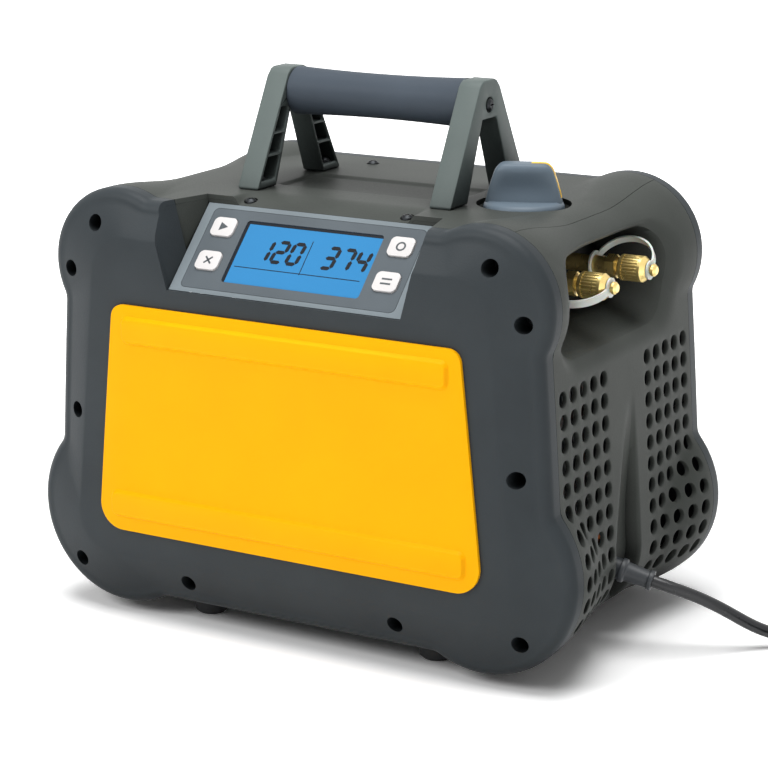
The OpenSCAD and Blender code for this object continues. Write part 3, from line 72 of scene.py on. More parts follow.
def add(tree: bpy.types.NodeTree, kind: str, inputs: dict | None = None, **settings) -> bpy.types.Node:
    """Add a node, set it up and link it.

    Args:
        tree: the tree that gets the node.
        kind: Blender's name of the node's type.
        inputs: values, or sockets to link from, by the name or number of an input.
        settings: the node's own attributes.

    Returns:
        The new node.
    """
    node = tree.nodes.new(kind)
    for name, value in settings.items():
        setattr(node, name, value)
    for name, value in (inputs or {}).items():
        if isinstance(value, bpy.types.NodeSocket):
            tree.links.new(value, node.inputs[name])
        else:
            node.inputs[name].default_value = value
    return node


def ease(s: np.ndarray | float) -> np.ndarray:
    """Smooth step: 3t^2 - 2t^3 with t held between 0 and 1."""
    t = np.clip(s, 0, 1)
    return t * t * (3 - 2 * t)


def arc(centre: np.ndarray | tuple, radius: float, start: float, end: float, steps: int,
        first: int = 1) -> np.ndarray:
    """Points of a circular arc: centre + radius * (cos a, sin a).

    Args:
        centre: centre of the circle.
        radius: its radius.
        start: first angle in degrees.
        end: last angle in degrees.
        steps: steps between them.
        first: 1 leaves out the first point.

    Returns:
        The points, one to a row.
    """
    angle = np.radians(np.linspace(start, end, steps + 1)[first:])
    return np.asarray(centre) + radius * np.stack([np.cos(angle), np.sin(angle)], -1)


def heading(v: np.ndarray) -> float:
    """Angle of a flat vector in degrees."""
    return math.degrees(math.atan2(v[1], v[0]))


def turned(points: np.ndarray, degrees: float) -> np.ndarray:
    """Flat points turned about the origin."""
    c, s = math.cos(math.radians(degrees)), math.sin(math.radians(degrees))
    return points @ np.array([[c, s], [-s, c]])


def along(line: np.ndarray, t: np.ndarray) -> np.ndarray:
    """Places on a flat line of points at steps t, where step i is its point i."""
    step = np.arange(len(line))
    return np.stack([np.interp(t, step, line[:, 0]), np.interp(t, step, line[:, 1])], -1)


def upright(u: np.ndarray, v: np.ndarray, h: np.ndarray) -> np.ndarray:
    """Points u across and v up, at a depth h."""
    return np.stack([u, h, v], -1)


# Finishes

# Reach of the shade painted into hollows, and the openness at which that painted shade is darkest and gone
PAINTED_SHADE_REACH_MM = 70
PAINTED_SHADE_DARKEST = 0.25
PAINTED_SHADE_CLEAR = 0.85
# Noise keeps near its middle, so that patches are drawn with three times their mottle
PATCH_SPREAD = 3
BUMP_STRENGTH = 0.6
MILKY_MM = 2


@dataclass(frozen=True)
class Finish:
    """A surface made from one colour, slow patches of lightness and a fine grain.

    The grain drives the bump and spreads the gloss; the patches keep the colour from being flat, and
    a hollow share above 0 paints shade into hollows, where the colour is darkened by up to that share.
    The grit of a moulding is finer than a pixel, so its grain is drawn about ten times as coarse as it is.
    """

    name: str
    colour: str
    roughness: float = 0.5
    metallic: float = 0.0
    grain_mm: float = 1.2
    relief_mm: float = 0.05
    mottle: float = 0.06
    patch_mm: float = 40.0
    gloss_spread: float = 0.08
    stretch: tuple[float, float, float] = (1.0, 1.0, 1.0)
    coat: float = 0.0
    sheen: float = 0.0
    subsurface: float = 0.0
    glow: float = 0.0
    # Share by which shade is painted into hollows
    painted_hollow_shade: float = 0.0
    specular: float = 0.5

    def material(self) -> bpy.types.Material:
        """Make the material, or hand out the one that was made before.

        Returns:
            The material.
        """
        known = bpy.data.materials.get(self.name)
        if known:
            return known
        material = bpy.data.materials.new(self.name)
        material.use_nodes = True
        tree = material.node_tree
        shader = tree.nodes["Principled BSDF"]
        place = add(tree, "ShaderNodeTexCoord").outputs["Object"]
        drawn = add(tree, "ShaderNodeMapping", {"Vector": place, "Scale": self.stretch}).outputs[0]
        grain = add(tree, "ShaderNodeTexNoise", {
            "Vector": drawn, "Scale": 1 / (self.grain_mm * MM), "Detail": 3.0}).outputs["Fac"]
        patch = add(tree, "ShaderNodeTexNoise", {
            "Vector": place, "Scale": 1 / (self.patch_mm * MM), "Detail": 4.0}).outputs["Fac"]
        base = np.array(linear(self.colour)[:3])
        spread = PATCH_SPREAD * self.mottle
        dark = (*(base * (1 - spread)), 1.0)
        light = (*np.minimum(1, base * (1 + spread)), 1.0)
        tint = add(tree, "ShaderNodeMix", {0: patch, 6: dark, 7: light}, data_type="RGBA").outputs[2]
        # Painted shade: ambient occlusion darkens the base colour in hollows, creases and under parts, where
        # shade falls
        if self.painted_hollow_shade:
            openness = add(tree, "ShaderNodeAmbientOcclusion", {
                "Distance": PAINTED_SHADE_REACH_MM * MM}, samples=6).outputs["AO"]
            deep = add(tree, "ShaderNodeMapRange", {
                "Value": openness, "From Min": PAINTED_SHADE_DARKEST, "From Max": PAINTED_SHADE_CLEAR,
                "To Min": 1 - self.painted_hollow_shade}).outputs[0]
            tint = add(tree, "ShaderNodeMix", {0: 1.0, 6: tint, 7: deep}, data_type="RGBA",
                       blend_type="MULTIPLY").outputs[2]
        gloss = add(tree, "ShaderNodeMapRange", {
            "Value": grain, "To Min": max(0.02, self.roughness - self.gloss_spread),
            "To Max": min(1, self.roughness + self.gloss_spread)}).outputs[0]
        bump = add(tree, "ShaderNodeBump", {
            "Height": grain, "Distance": self.relief_mm * MM, "Strength": BUMP_STRENGTH}).outputs[0]
        for name, value in {"Base Color": tint, "Roughness": gloss, "Normal": bump}.items():
            tree.links.new(value, shader.inputs[name])
        for name, value in {
                "Metallic": self.metallic, "Coat Weight": self.coat, "Sheen Weight": self.sheen,
                "Subsurface Weight": self.subsurface, "Subsurface Scale": MILKY_MM * MM,
                "Emission Strength": self.glow, "Specular IOR Level": self.specular}.items():
            shader.inputs[name].default_value = value
        if self.glow:
            tree.links.new(tint, shader.inputs["Emission Color"])
        return material


class Look(Enum):
    """The machine's finishes."""

    # Glass-filled nylon moulded in a deeply spark-eroded tool: the grit breaks up nearly all its gloss;
    # shade is painted into its hollows
    CHARCOAL = Finish("moulded_nylon_charcoal", "#363b3e", 0.42, grain_mm=1.3, relief_mm=0.12,
                      painted_hollow_shade=0.6, specular=0.1)
    # ABS moulded with the same grit: a warmer grey, dull, with heavy shade painted into its hollows
    STONE = Finish("moulded_abs_stone", "#444744", 0.46, grain_mm=1.3, relief_mm=0.12, painted_hollow_shade=0.92,
                   specular=0.08)
    # ABS moulded with a finer grit: lighter, with a green cast; shade is painted into its hollows
    SLATE = Finish("moulded_abs_slate", "#5e6765", 0.44, grain_mm=1.2, relief_mm=0.05, painted_hollow_shade=0.85,
                   specular=0.15)
    # Thermoplastic elastomer moulded over a tube: soft and dull, with a blue cast; shade is painted into its
    # hollows
    GRIP = Finish("overmoulded_elastomer", "#434b54", 0.5, grain_mm=0.9, relief_mm=0.06, painted_hollow_shade=0.5,
                  specular=0.12)
    # ABS panel, satin tool finish: clean saturated colour
    YELLOW = Finish("satin_abs_yellow", "#fcb205", 0.42, grain_mm=1.0, relief_mm=0.02, mottle=0.015,
                    specular=0.06)
    # ABS frame, satin tool finish: an even mid grey
    BEZEL = Finish("satin_abs_grey", "#757e83", 0.4, grain_mm=1.0, relief_mm=0.03, specular=0.15)
    # Printed polyester film with a matt face: flat grey
    FILM = Finish("printed_film", "#585f64", 0.34, relief_mm=0.01, specular=0.12)
    # Backlit liquid crystal cell behind clear acrylic: smooth, with a weak glow of its own
    DISPLAY = Finish("backlit_cell", "#2f7aae", 0.16, relief_mm=0.0, mottle=0.02, patch_mm=60, coat=0.05,
                     glow=0.1, specular=0.2)
    # Darkened crystal: nearly black; the same finish paints the shadow along the display window's upper and
    # left edges
    INK = Finish("display_ink", "#070c14", 0.4, relief_mm=0.0, specular=0.2)
    # Moulded silicone rubber: off-white and soft
    KEY = Finish("silicone_key", "#d0cdcc", 0.45, grain_mm=0.8, relief_mm=0.02, mottle=0.02)
    # Pad-printed ink: flat dark grey
    PRINT = Finish("key_print", "#3c4246", 0.5, relief_mm=0.0)
    # Nylon moulded in a smoother tool: blue grey with a soft gloss
    KNOB = Finish("moulded_nylon_slate", "#616e79", 0.42, grain_mm=1.0, relief_mm=0.03, specular=0.2)
    # ABS strip let into the knob: plain bright yellow
    MARK = Finish("inlaid_mark", "#fec60b", 0.35, relief_mm=0.0, mottle=0.02)
    # Free-cutting brass off a lathe: fine rings round the axis of the ports; some shade is painted into its
    # hollows
    BRASS = Finish("turned_brass", "#f8d68a", 0.3, 0.8, grain_mm=1.0, relief_mm=0.03,
                   stretch=(1, 0.15, 0.15), painted_hollow_shade=0.3)
    # Moulded polyethylene: milky, lets some light through
    STRAP = Finish("milky_polyethylene", "#cfd5d0", 0.38, relief_mm=0.02, mottle=0.03, subsurface=0.3)
    # Turned steel: bright and smooth
    STEEL = Finish("turned_steel", "#8d9296", 0.3, 1.0, relief_mm=0.02)
    # Steel blackened in an oxide bath: a dull dark gleam
    SCREW = Finish("black_oxide_steel", "#2b2d2f", 0.38, 0.9, relief_mm=0.02)
    # Zinc-plated sheet: small patches of spangle
    PLATED = Finish("zinc_plated_sheet", "#9aa0a4", 0.34, 1.0, patch_mm=12, mottle=0.1)
    # Cast aluminium: a coarse dull grain
    CASTING = Finish("cast_aluminium", "#9aa0a3", 0.5, 1.0, grain_mm=1.6, relief_mm=0.12)
    # Rolled aluminium strip: bright
    FIN = Finish("aluminium_fin_stock", "#b4babd", 0.35, 1.0)
    # Drawn copper tube: stained in patches
    COPPER = Finish("drawn_copper", "#b06238", 0.3, 1.0, patch_mm=18, mottle=0.12)
    # Stoved enamel: smooth, with a thin gloss
    ENAMEL = Finish("motor_enamel", "#363b40", 0.35, coat=0.2)
    # Glass epoxy under solder mask: green, mottled by the copper beneath
    BOARD = Finish("solder_mask", "#2c6543", 0.35, patch_mm=9, mottle=0.15, coat=0.3)
    # Moulded nylon: black and half dull
    BLACK = Finish("moulded_nylon_black", "#1d1f21", 0.5)
    # Moulded rubber: black and dull
    RUBBER = Finish("moulded_rubber", "#1c1d1f", 0.75, grain_mm=1.5, relief_mm=0.08)
    # Plasticised PVC jacket: smooth and glossy
    JACKET = Finish("pvc_jacket", "#1b1c1f", 0.3, grain_mm=2.5, relief_mm=0.03)
    # Moulded PVC: less gloss than the jacket
    RELIEF = Finish("moulded_pvc", "#33373b", 0.45, relief_mm=0.04)
    # Woven tape with loops: dull, with a soft sheen
    WEBBING = Finish("hook_and_loop", "#232527", 0.85, grain_mm=0.9, relief_mm=0.3, sheen=0.3)


# Meshes

class Shape:
    """Collects grids of points, in millimetres, into one mesh."""

    def __init__(self) -> None:
        """Start with nothing."""
        self.points: list[np.ndarray] = []
        self.faces: list[list[int]] = []
        self.count = 0

    def _take(self, points: np.ndarray, faces: np.ndarray) -> None:
        """Add points and the faces between them.

        Args:
            points: the points, in any grid by 3.
            faces: their numbers, from 0, one face to a row.
        """
        self.points.append(points.reshape(-1, 3))
        self.faces.extend((faces + self.count).tolist())
        self.count += points.size // 3

    def sheet(self, points: np.ndarray, closed: bool = False, keep: np.ndarray | None = None) -> None:
        """Add a grid of quads.

        Args:
            points: the grid, as rows by columns by 3.
            closed: True joins the last column to the first.
            keep: which quads to keep, as rows by columns; all if it is left out.
        """
        rows, cols = points.shape[:2]
        index = np.arange(rows * cols).reshape(rows, cols)
        if closed:
            index = np.concatenate([index, index[:, :1]], 1)
        quads = np.stack([index[:-1, :-1], index[:-1, 1:], index[1:, 1:], index[1:, :-1]], -1)
        self._take(points, quads[keep] if keep is not None else quads.reshape(-1, 4))

    def cells(self, points: np.ndarray) -> None:
        """Add many tubes at once.

        Args:
            points: tubes by rings by points round each ring by 3.
        """
        count, rings, around = points.shape[:3]
        index = np.arange(rings * around).reshape(rings, around)
        index = np.concatenate([index, index[:, :1]], 1)
        quads = np.stack([index[:-1, :-1], index[:-1, 1:], index[1:, 1:], index[1:, :-1]], -1)
        start = np.arange(count)[:, None, None] * rings * around
        self._take(points, (quads.reshape(1, -1, 4) + start).reshape(-1, 4))

    def cap(self, loop: np.ndarray) -> None:
        """Close a flat loop of points with one face."""
        self._take(loop, np.arange(len(loop))[None])

    def solid(self, rings: np.ndarray) -> None:
        """Add a closed tube through rings of points, with a face at each end.

        Args:
            rings: rings by points by 3.
        """
        self.sheet(rings, closed=True)
        self.cap(rings[0])
        self.cap(rings[-1])

    def lathe(self, profile: np.ndarray, centre: np.ndarray, axis: int, sides: int = 40) -> None:
        """Revolve a profile of (radius, height) points about a row axis, with its ends closed.

        Args:
            profile: radius and height along the axis, one point to a row.
            centre: where height 0 is.
            axis: 0, 1 or 2 for X, Y or Z.
            sides: points round.
        """
        turn = np.linspace(0, 2 * np.pi, sides, endpoint=False)
        u, v, w = np.roll(np.eye(3), -axis, axis=0)[[1, 2, 0]]
        round_ = np.cos(turn)[:, None] * u + np.sin(turn)[:, None] * v
        rings = profile[:, :1, None] * round_[None] + profile[:, 1:, None] * w + np.asarray(centre)
        self.solid(rings)

    def prism(self, outline: np.ndarray, low: float, high: float, place: Place) -> None:
        """Extrude a flat outline between two heights and put it in place.

        Args:
            outline: its points, one to a row.
            low: lower height.
            high: upper height.
            place: function of u, v and height that gives points in the part's frame.
        """
        rings = [place(outline[:, 0], outline[:, 1], np.full(len(outline), h)) for h in (low, high)]
        self.solid(np.stack(rings))

    def piece(self, name: str) -> bpy.types.Object:
        """Make the mesh, with doubles merged and faces turned outwards.

        Args:
            name: the piece's name.

        Returns:
            The new object, at the origin.
        """
        mesh = bpy.data.meshes.new(name)
        mesh.from_pydata(np.concatenate(self.points) * MM, [], self.faces)
        work = bmesh.new()
        work.from_mesh(mesh)
        bmesh.ops.remove_doubles(work, verts=work.verts, dist=2e-6)
        bmesh.ops.dissolve_degenerate(work, edges=work.edges, dist=1e-7)
        bmesh.ops.recalc_face_normals(work, faces=work.faces)
        work.to_mesh(mesh)
        work.free()
        piece = bpy.data.objects.new(name, mesh)
        bpy.context.scene.collection.objects.link(piece)
        return piece


def cut(piece: bpy.types.Object, cutter: bpy.types.Object) -> None:
    """Cut one closed mesh out of another and remove the cutter.

    Args:
        piece: what is cut.
        cutter: what is taken away.
    """
    tool = piece.modifiers.new("cut", "BOOLEAN")
    tool.operation = "DIFFERENCE"
    tool.solver = "EXACT"
    tool.object = cutter
    graph = bpy.context.evaluated_depsgraph_get()
    old = piece.data
    mesh = bpy.data.meshes.new_from_object(piece.evaluated_get(graph))
    piece.modifiers.clear()
    piece.data = mesh
    bpy.data.meshes.remove(old)
    bpy.data.objects.remove(cutter)


def join(piece: bpy.types.Object, other: bpy.types.Object) -> None:
    """Put a second mesh into a piece as a separate island and remove its object.

    Args:
        piece: what takes the mesh.
        other: what gives it.
    """
    work = bmesh.new()
    work.from_mesh(piece.data)
    work.from_mesh(other.data)
    work.to_mesh(piece.data)
    work.free()
    bpy.data.objects.remove(other)


def dress(piece: bpy.types.Object, look: Look, body: str, slot: str, *nodes: str,
          sharp: float = 35) -> None:
    """Shade a new piece, give it its finish and tie it to the frame.

    Args:
        piece: the new piece.
        look: its finish.
        body: the body that it rides on.
        slot: the record's slot for its finish; not used.
        nodes: the nodes that it stands for.
        sharp: edges steeper than this angle, in degrees, stay sharp.
    """
    mesh = piece.data
    mesh.polygons.foreach_set("use_smooth", np.ones(len(mesh.polygons), bool))
    mesh.set_sharp_from_angle(angle=math.radians(sharp))
    mesh.materials.clear()
    mesh.materials.append(look.value.material())
    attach(piece, body)
    if nodes:
        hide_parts(*nodes)
    LOG.info("%s: %d faces on %s", piece.name, len(mesh.polygons), body)


def smoothing(limit: float = 32) -> bpy.types.NodeTree:
    """Node group that shades a mesh smooth apart from its steep edges.

    Args:
        limit: edges steeper than this angle, in degrees, stay sharp.

    Returns:
        The group, which is made once.
    """
    name = f"smooth_under_{limit:g}"
    known = bpy.data.node_groups.get(name)
    if known:
        return known
    tree = bpy.data.node_groups.new(name, "GeometryNodeTree")
    for way in ("INPUT", "OUTPUT"):
        tree.interface.new_socket("Geometry", in_out=way, socket_type="NodeSocketGeometry")
    source = add(tree, "NodeGroupInput").outputs[0]
    angle = add(tree, "GeometryNodeInputMeshEdgeAngle").outputs["Unsigned Angle"]
    steep = add(tree, "FunctionNodeCompare", {
        0: angle, 1: math.radians(limit)}, operation="GREATER_THAN")
    faces = add(tree, "GeometryNodeSetShadeSmooth", {"Geometry": source}, domain="FACE")
    edges = add(tree, "GeometryNodeSetShadeSmooth", {
        "Geometry": faces.outputs[0], "Selection": steep.outputs[0],
        "Shade Smooth": False}, domain="EDGE")
    add(tree, "NodeGroupOutput", {0: edges.outputs[0]})
    return tree


def soften(node: str, look: Look, bevel_mm: float = 0.0) -> None:
    """Give a node of the frame its finish, rounded edges and smooth shading.

    Args:
        node: the node's name.
        look: its finish.
        bevel_mm: width of its rounded edges; 0 leaves them sharp.
    """
    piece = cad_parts[node]
    piece.data.materials.clear()
    piece.data.materials.append(look.value.material())
    weld = piece.modifiers.new("weld", "WELD")
    weld.merge_threshold = 1e-5
    if bevel_mm:
        bevel = piece.modifiers.new("rounded_edges", "BEVEL")
        bevel.width = bevel_mm * MM
        bevel.segments = 3
        bevel.limit_method = "ANGLE"
        bevel.angle_limit = math.radians(40)
    piece.modifiers.new("smooth", "NODES").node_group = smoothing()
    LOG.info("%s: %s", node, look.value.name)


# The housing

@dataclass
class Outline:
    """Outline of the housing across its depth, right half, from the belly up to the deck.

    Towards the covers four round bumpers grow out of a plain rounded trapezoid.
    """

    width: float = 402
    height: float = 292
    shoulder: float = 368
    low_r: float = 65
    high_r: float = 51
    floor_gap: float = 8
    belly: float = 16.5
    deck: float = 286
    waist: float = 363
    side_z: float = 160
    draft: float = 0.068
    blend: float = 12
    low_corner: float = 48
    high_corner: float = 45
    bow: float = 0.1
    wall: float = 3
    part: float = 100.5
    seam: float = 0.3
    fade: float = 22
    blend_steps: int = 8
    arc_steps: int = 48
    flat_steps: int = 24

    def __post_init__(self) -> None:
        """Work out the centres of the bumpers and of the hollows beside them."""
        self.low_c = np.array([self.width / 2 - self.low_r, self.floor_gap + self.low_r])
        self.high_c = np.array([self.shoulder / 2 - self.high_r, self.height - self.high_r])
        self.lean = math.degrees(math.atan(self.draft))
        self.side_p = np.array([self.waist / 2, self.side_z])
        self.normal = np.array([math.cos(math.radians(self.lean)), math.sin(math.radians(self.lean))])
        up = np.array([-self.normal[1], self.normal[0]])
        low_off = self.normal @ (self.side_p - self.low_c) + self.blend
        high_off = self.normal @ (self.side_p - self.high_c) + self.blend
        belly_off = self.low_c[1] - self.belly + self.blend
        deck_off = self.deck + self.blend - self.high_c[1]
        self.belly_c = np.array([self.low_c[0] - self.reach(self.low_r, belly_off), self.belly - self.blend])
        self.low_hollow = self.low_c + self.normal * low_off + up * self.reach(self.low_r, low_off)
        self.high_hollow = self.high_c + self.normal * high_off - up * self.reach(self.high_r, high_off)
        self.deck_c = np.array([self.high_c[0] - self.reach(self.high_r, deck_off), self.deck + self.blend])
        over = 2 * self.arc_steps // 3
        self.seam_i = 3 * self.blend_steps + 1 + self.arc_steps + self.flat_steps + over

    def reach(self, r: float, off: float) -> float:
        """Distance along a face from a bumper's centre to a touching hollow's, by Pythagoras.

        Args:
            r: radius of the bumper.
            off: distance of the two centres square to the face.

        Returns:
            The distance.
        """
        return math.sqrt((r + self.blend) ** 2 - off ** 2)

    def bumper(self, d: float = 0) -> np.ndarray:
        """Outline with bumpers: arcs and hollows that touch, and a slightly bowed side.

        Args:
            d: how far it is moved in.

        Returns:
            The points, one to a row.
        """
        r = self.blend + d
        a1 = heading(self.low_c - self.belly_c)
        b1 = heading(self.low_hollow - self.low_c)
        e1 = heading(self.high_c - self.high_hollow)
        g1 = heading(self.deck_c - self.high_c)
        ends = [c - r * self.normal for c in (self.low_hollow, self.high_hollow)]
        s = (np.arange(1, self.flat_steps + 1) / (self.flat_steps + 1))[:, None]
        side = ends[0] + (ends[1] - ends[0]) * s + 4 * s * (1 - s) * self.bow * self.normal
        return np.concatenate([
            arc(self.belly_c, r, 90, a1, self.blend_steps, 0),
            arc(self.low_c, self.low_r - d, a1 - 180, b1, self.arc_steps),
            arc(self.low_hollow, r, b1 + 180, self.lean + 180, self.blend_steps),
            side,
            arc(self.high_hollow, r, self.lean + 180, e1, self.blend_steps, 0),
            arc(self.high_c, self.high_r - d, e1 - 180, g1, self.arc_steps),
            arc(self.deck_c, r, g1 - 180, -90, self.blend_steps)])

    def plain(self, p: np.ndarray, lean: float, z0: float, z1: float, r0: float, r1: float,
              d: float) -> np.ndarray:
        """Rounded trapezoid with as many points as the bumper outline, moved in by d.

        Args:
            p: a point on its side.
            lean: lean of its side in degrees.
            z0: its foot.
            z1: its head.
            r0: corner radius at the foot.
            r1: corner radius at the head.
            d: how far it is moved in.

        Returns:
            The points, one to a row.
        """
        n = np.array([math.cos(math.radians(lean)), math.sin(math.radians(lean))])
        c0 = np.array([(n @ p - r0 - n[1] * (z0 + r0)) / n[0], z0 + r0])
        c1 = np.array([(n @ p - r1 - n[1] * (z1 - r1)) / n[0], z1 - r1])
        p0, p1 = c0 + (r0 - d) * n, c1 + (r1 - d) * n
        steps = 2 * self.blend_steps + self.flat_steps + 1
        s = (np.arange(1, steps + 1) / steps)[:, None]
        side = p0 + (p1 - p0) * s + 4 * s * (1 - s) * self.bow * n
        foot = np.linspace(self.belly_c[0], c0[0], self.blend_steps + 1)
        head = np.linspace(c1[0], self.deck_c[0], self.blend_steps + 1)[1:]
        return np.concatenate([
            np.stack([foot, z0 + d - self.bow * (1 - (foot / c0[0]) ** 2)], -1),
            arc(c0, r0 - d, -90, lean, self.arc_steps),
            side,
            arc(c1, r1 - d, lean, 90, self.arc_steps),
            np.stack([head, z1 - d + self.bow * (1 - (head / c1[0]) ** 2)], -1)])

    def sections(self, y: np.ndarray, d: float = 0) -> np.ndarray:
        """Outlines at depths y: a smooth step from the plain section to the bumpers.

        Args:
            y: depths.
            d: how far they are moved in.

        Returns:
            Depths by points by 2.
        """
        middle = self.plain(
            self.side_p, self.lean, self.belly, self.deck, self.low_corner, self.high_corner, d)
        s = ease((np.abs(y) - self.fade) / (self.part - self.fade))[:, None, None]
        return middle + (self.bumper(d) - middle) * s


def whole(half: np.ndarray) -> np.ndarray:
    """A half outline with its mirror image, as one closed ring."""
    return np.concatenate([half, half[::-1] * [-1, 1]])


def at_depth(ring: np.ndarray, y: float | np.ndarray) -> np.ndarray:
    """Points (x, z) put at a depth y."""
    return np.stack([ring[..., 0], np.broadcast_to(y, ring.shape[:-1]), ring[..., 1]], -1)


@dataclass
class Bay:
    """The scoop in the right side that the ports stand in.

    Each level is a rounded rectangle; the levels close in with depth, most at the floor and the rear.
    """

    front: float = -87.5
    rear: float = 67
    floor: float = 205
    roof: float = 268
    corner: float = 24
    back_x: float = 122
    lips: tuple[float, float, float, float] = (3, 15, 11, 4)
    closing: tuple[float, float, float, float] = (3, 16, 20, 2)
    back_r: float = 12
    back_corner: float = 16
    lip_share: float = 0.5
    lip_steps: int = 8
    wall_steps: int = 7
    back_steps: int = 6
    shrink: tuple[float, float] = (0.5, 0.02)

    def level(self, edge: np.ndarray, grow: np.ndarray, corner: float) -> np.ndarray:
        """Nearest points of a grown rounded rectangle to the points of an edge loop.

        Args:
            edge: loop of (y, z) points outside the rectangle.
            grow: how far the front, rear, floor and roof are moved out.
            corner: radius of its corners.

        Returns:
            As many points, on the rounded rectangle.
        """
        low = np.array([self.front - grow[0], self.floor - grow[2]]) + corner
        high = np.array([self.rear + grow[1], self.roof + grow[3]]) - corner
        inner = np.clip(edge, low, high)
        way = edge - inner
        return inner + corner * way / np.linalg.norm(way, axis=1, keepdims=True)

    def rings(self, edge: np.ndarray, skin: Skin, extra: float = 0) -> np.ndarray:
        """Rings from the skin over the lip, down the walls and across the back.

        Args:
            edge: loop of (y, z) points on the skin.
            skin: function that gives the skin's x at y and z.
            extra: thickness, for the hidden side of the walls.

        Returns:
            Rings by points by 3.
        """
        lips = np.array(self.lips)
        closing = np.array(self.closing)
        made = [np.stack([skin(edge[:, 0], edge[:, 1]), edge[:, 0], edge[:, 1]], -1)]
        for turn in np.radians(np.linspace(0, 90, self.lip_steps + 1)):
            rise = math.sin(turn)
            flat = self.level(edge, lips * (1 - rise) + extra, self.corner + extra)
            drop = rise ** 2 * lips.mean() * self.lip_share
            made.append(np.stack([skin(flat[:, 0], flat[:, 1]) - drop, flat[:, 0], flat[:, 1]], -1))
        mouth = made[-1][:, 0]
        foot = self.back_x - extra + self.back_r
        for s in np.linspace(0, 1, self.wall_steps + 1)[1:]:
            flat = self.level(edge, extra - closing * s, self.corner + extra)
            made.append(np.stack([mouth + (foot - mouth) * s, flat[:, 0], flat[:, 1]], -1))
        for turn in np.radians(np.linspace(0, 90, self.back_steps + 1)[1:]):
            grow = extra - closing - self.back_r * (1 - math.cos(turn))
            flat = self.level(edge, grow, self.back_corner + extra)
            made.append(np.stack([np.full(len(flat), foot - self.back_r * math.sin(turn)), *flat.T], -1))
        middle = made[-1].mean(0)
        for s in self.shrink:
            made.append(middle + (made[-1] - middle) * s)
        return np.stack(made)


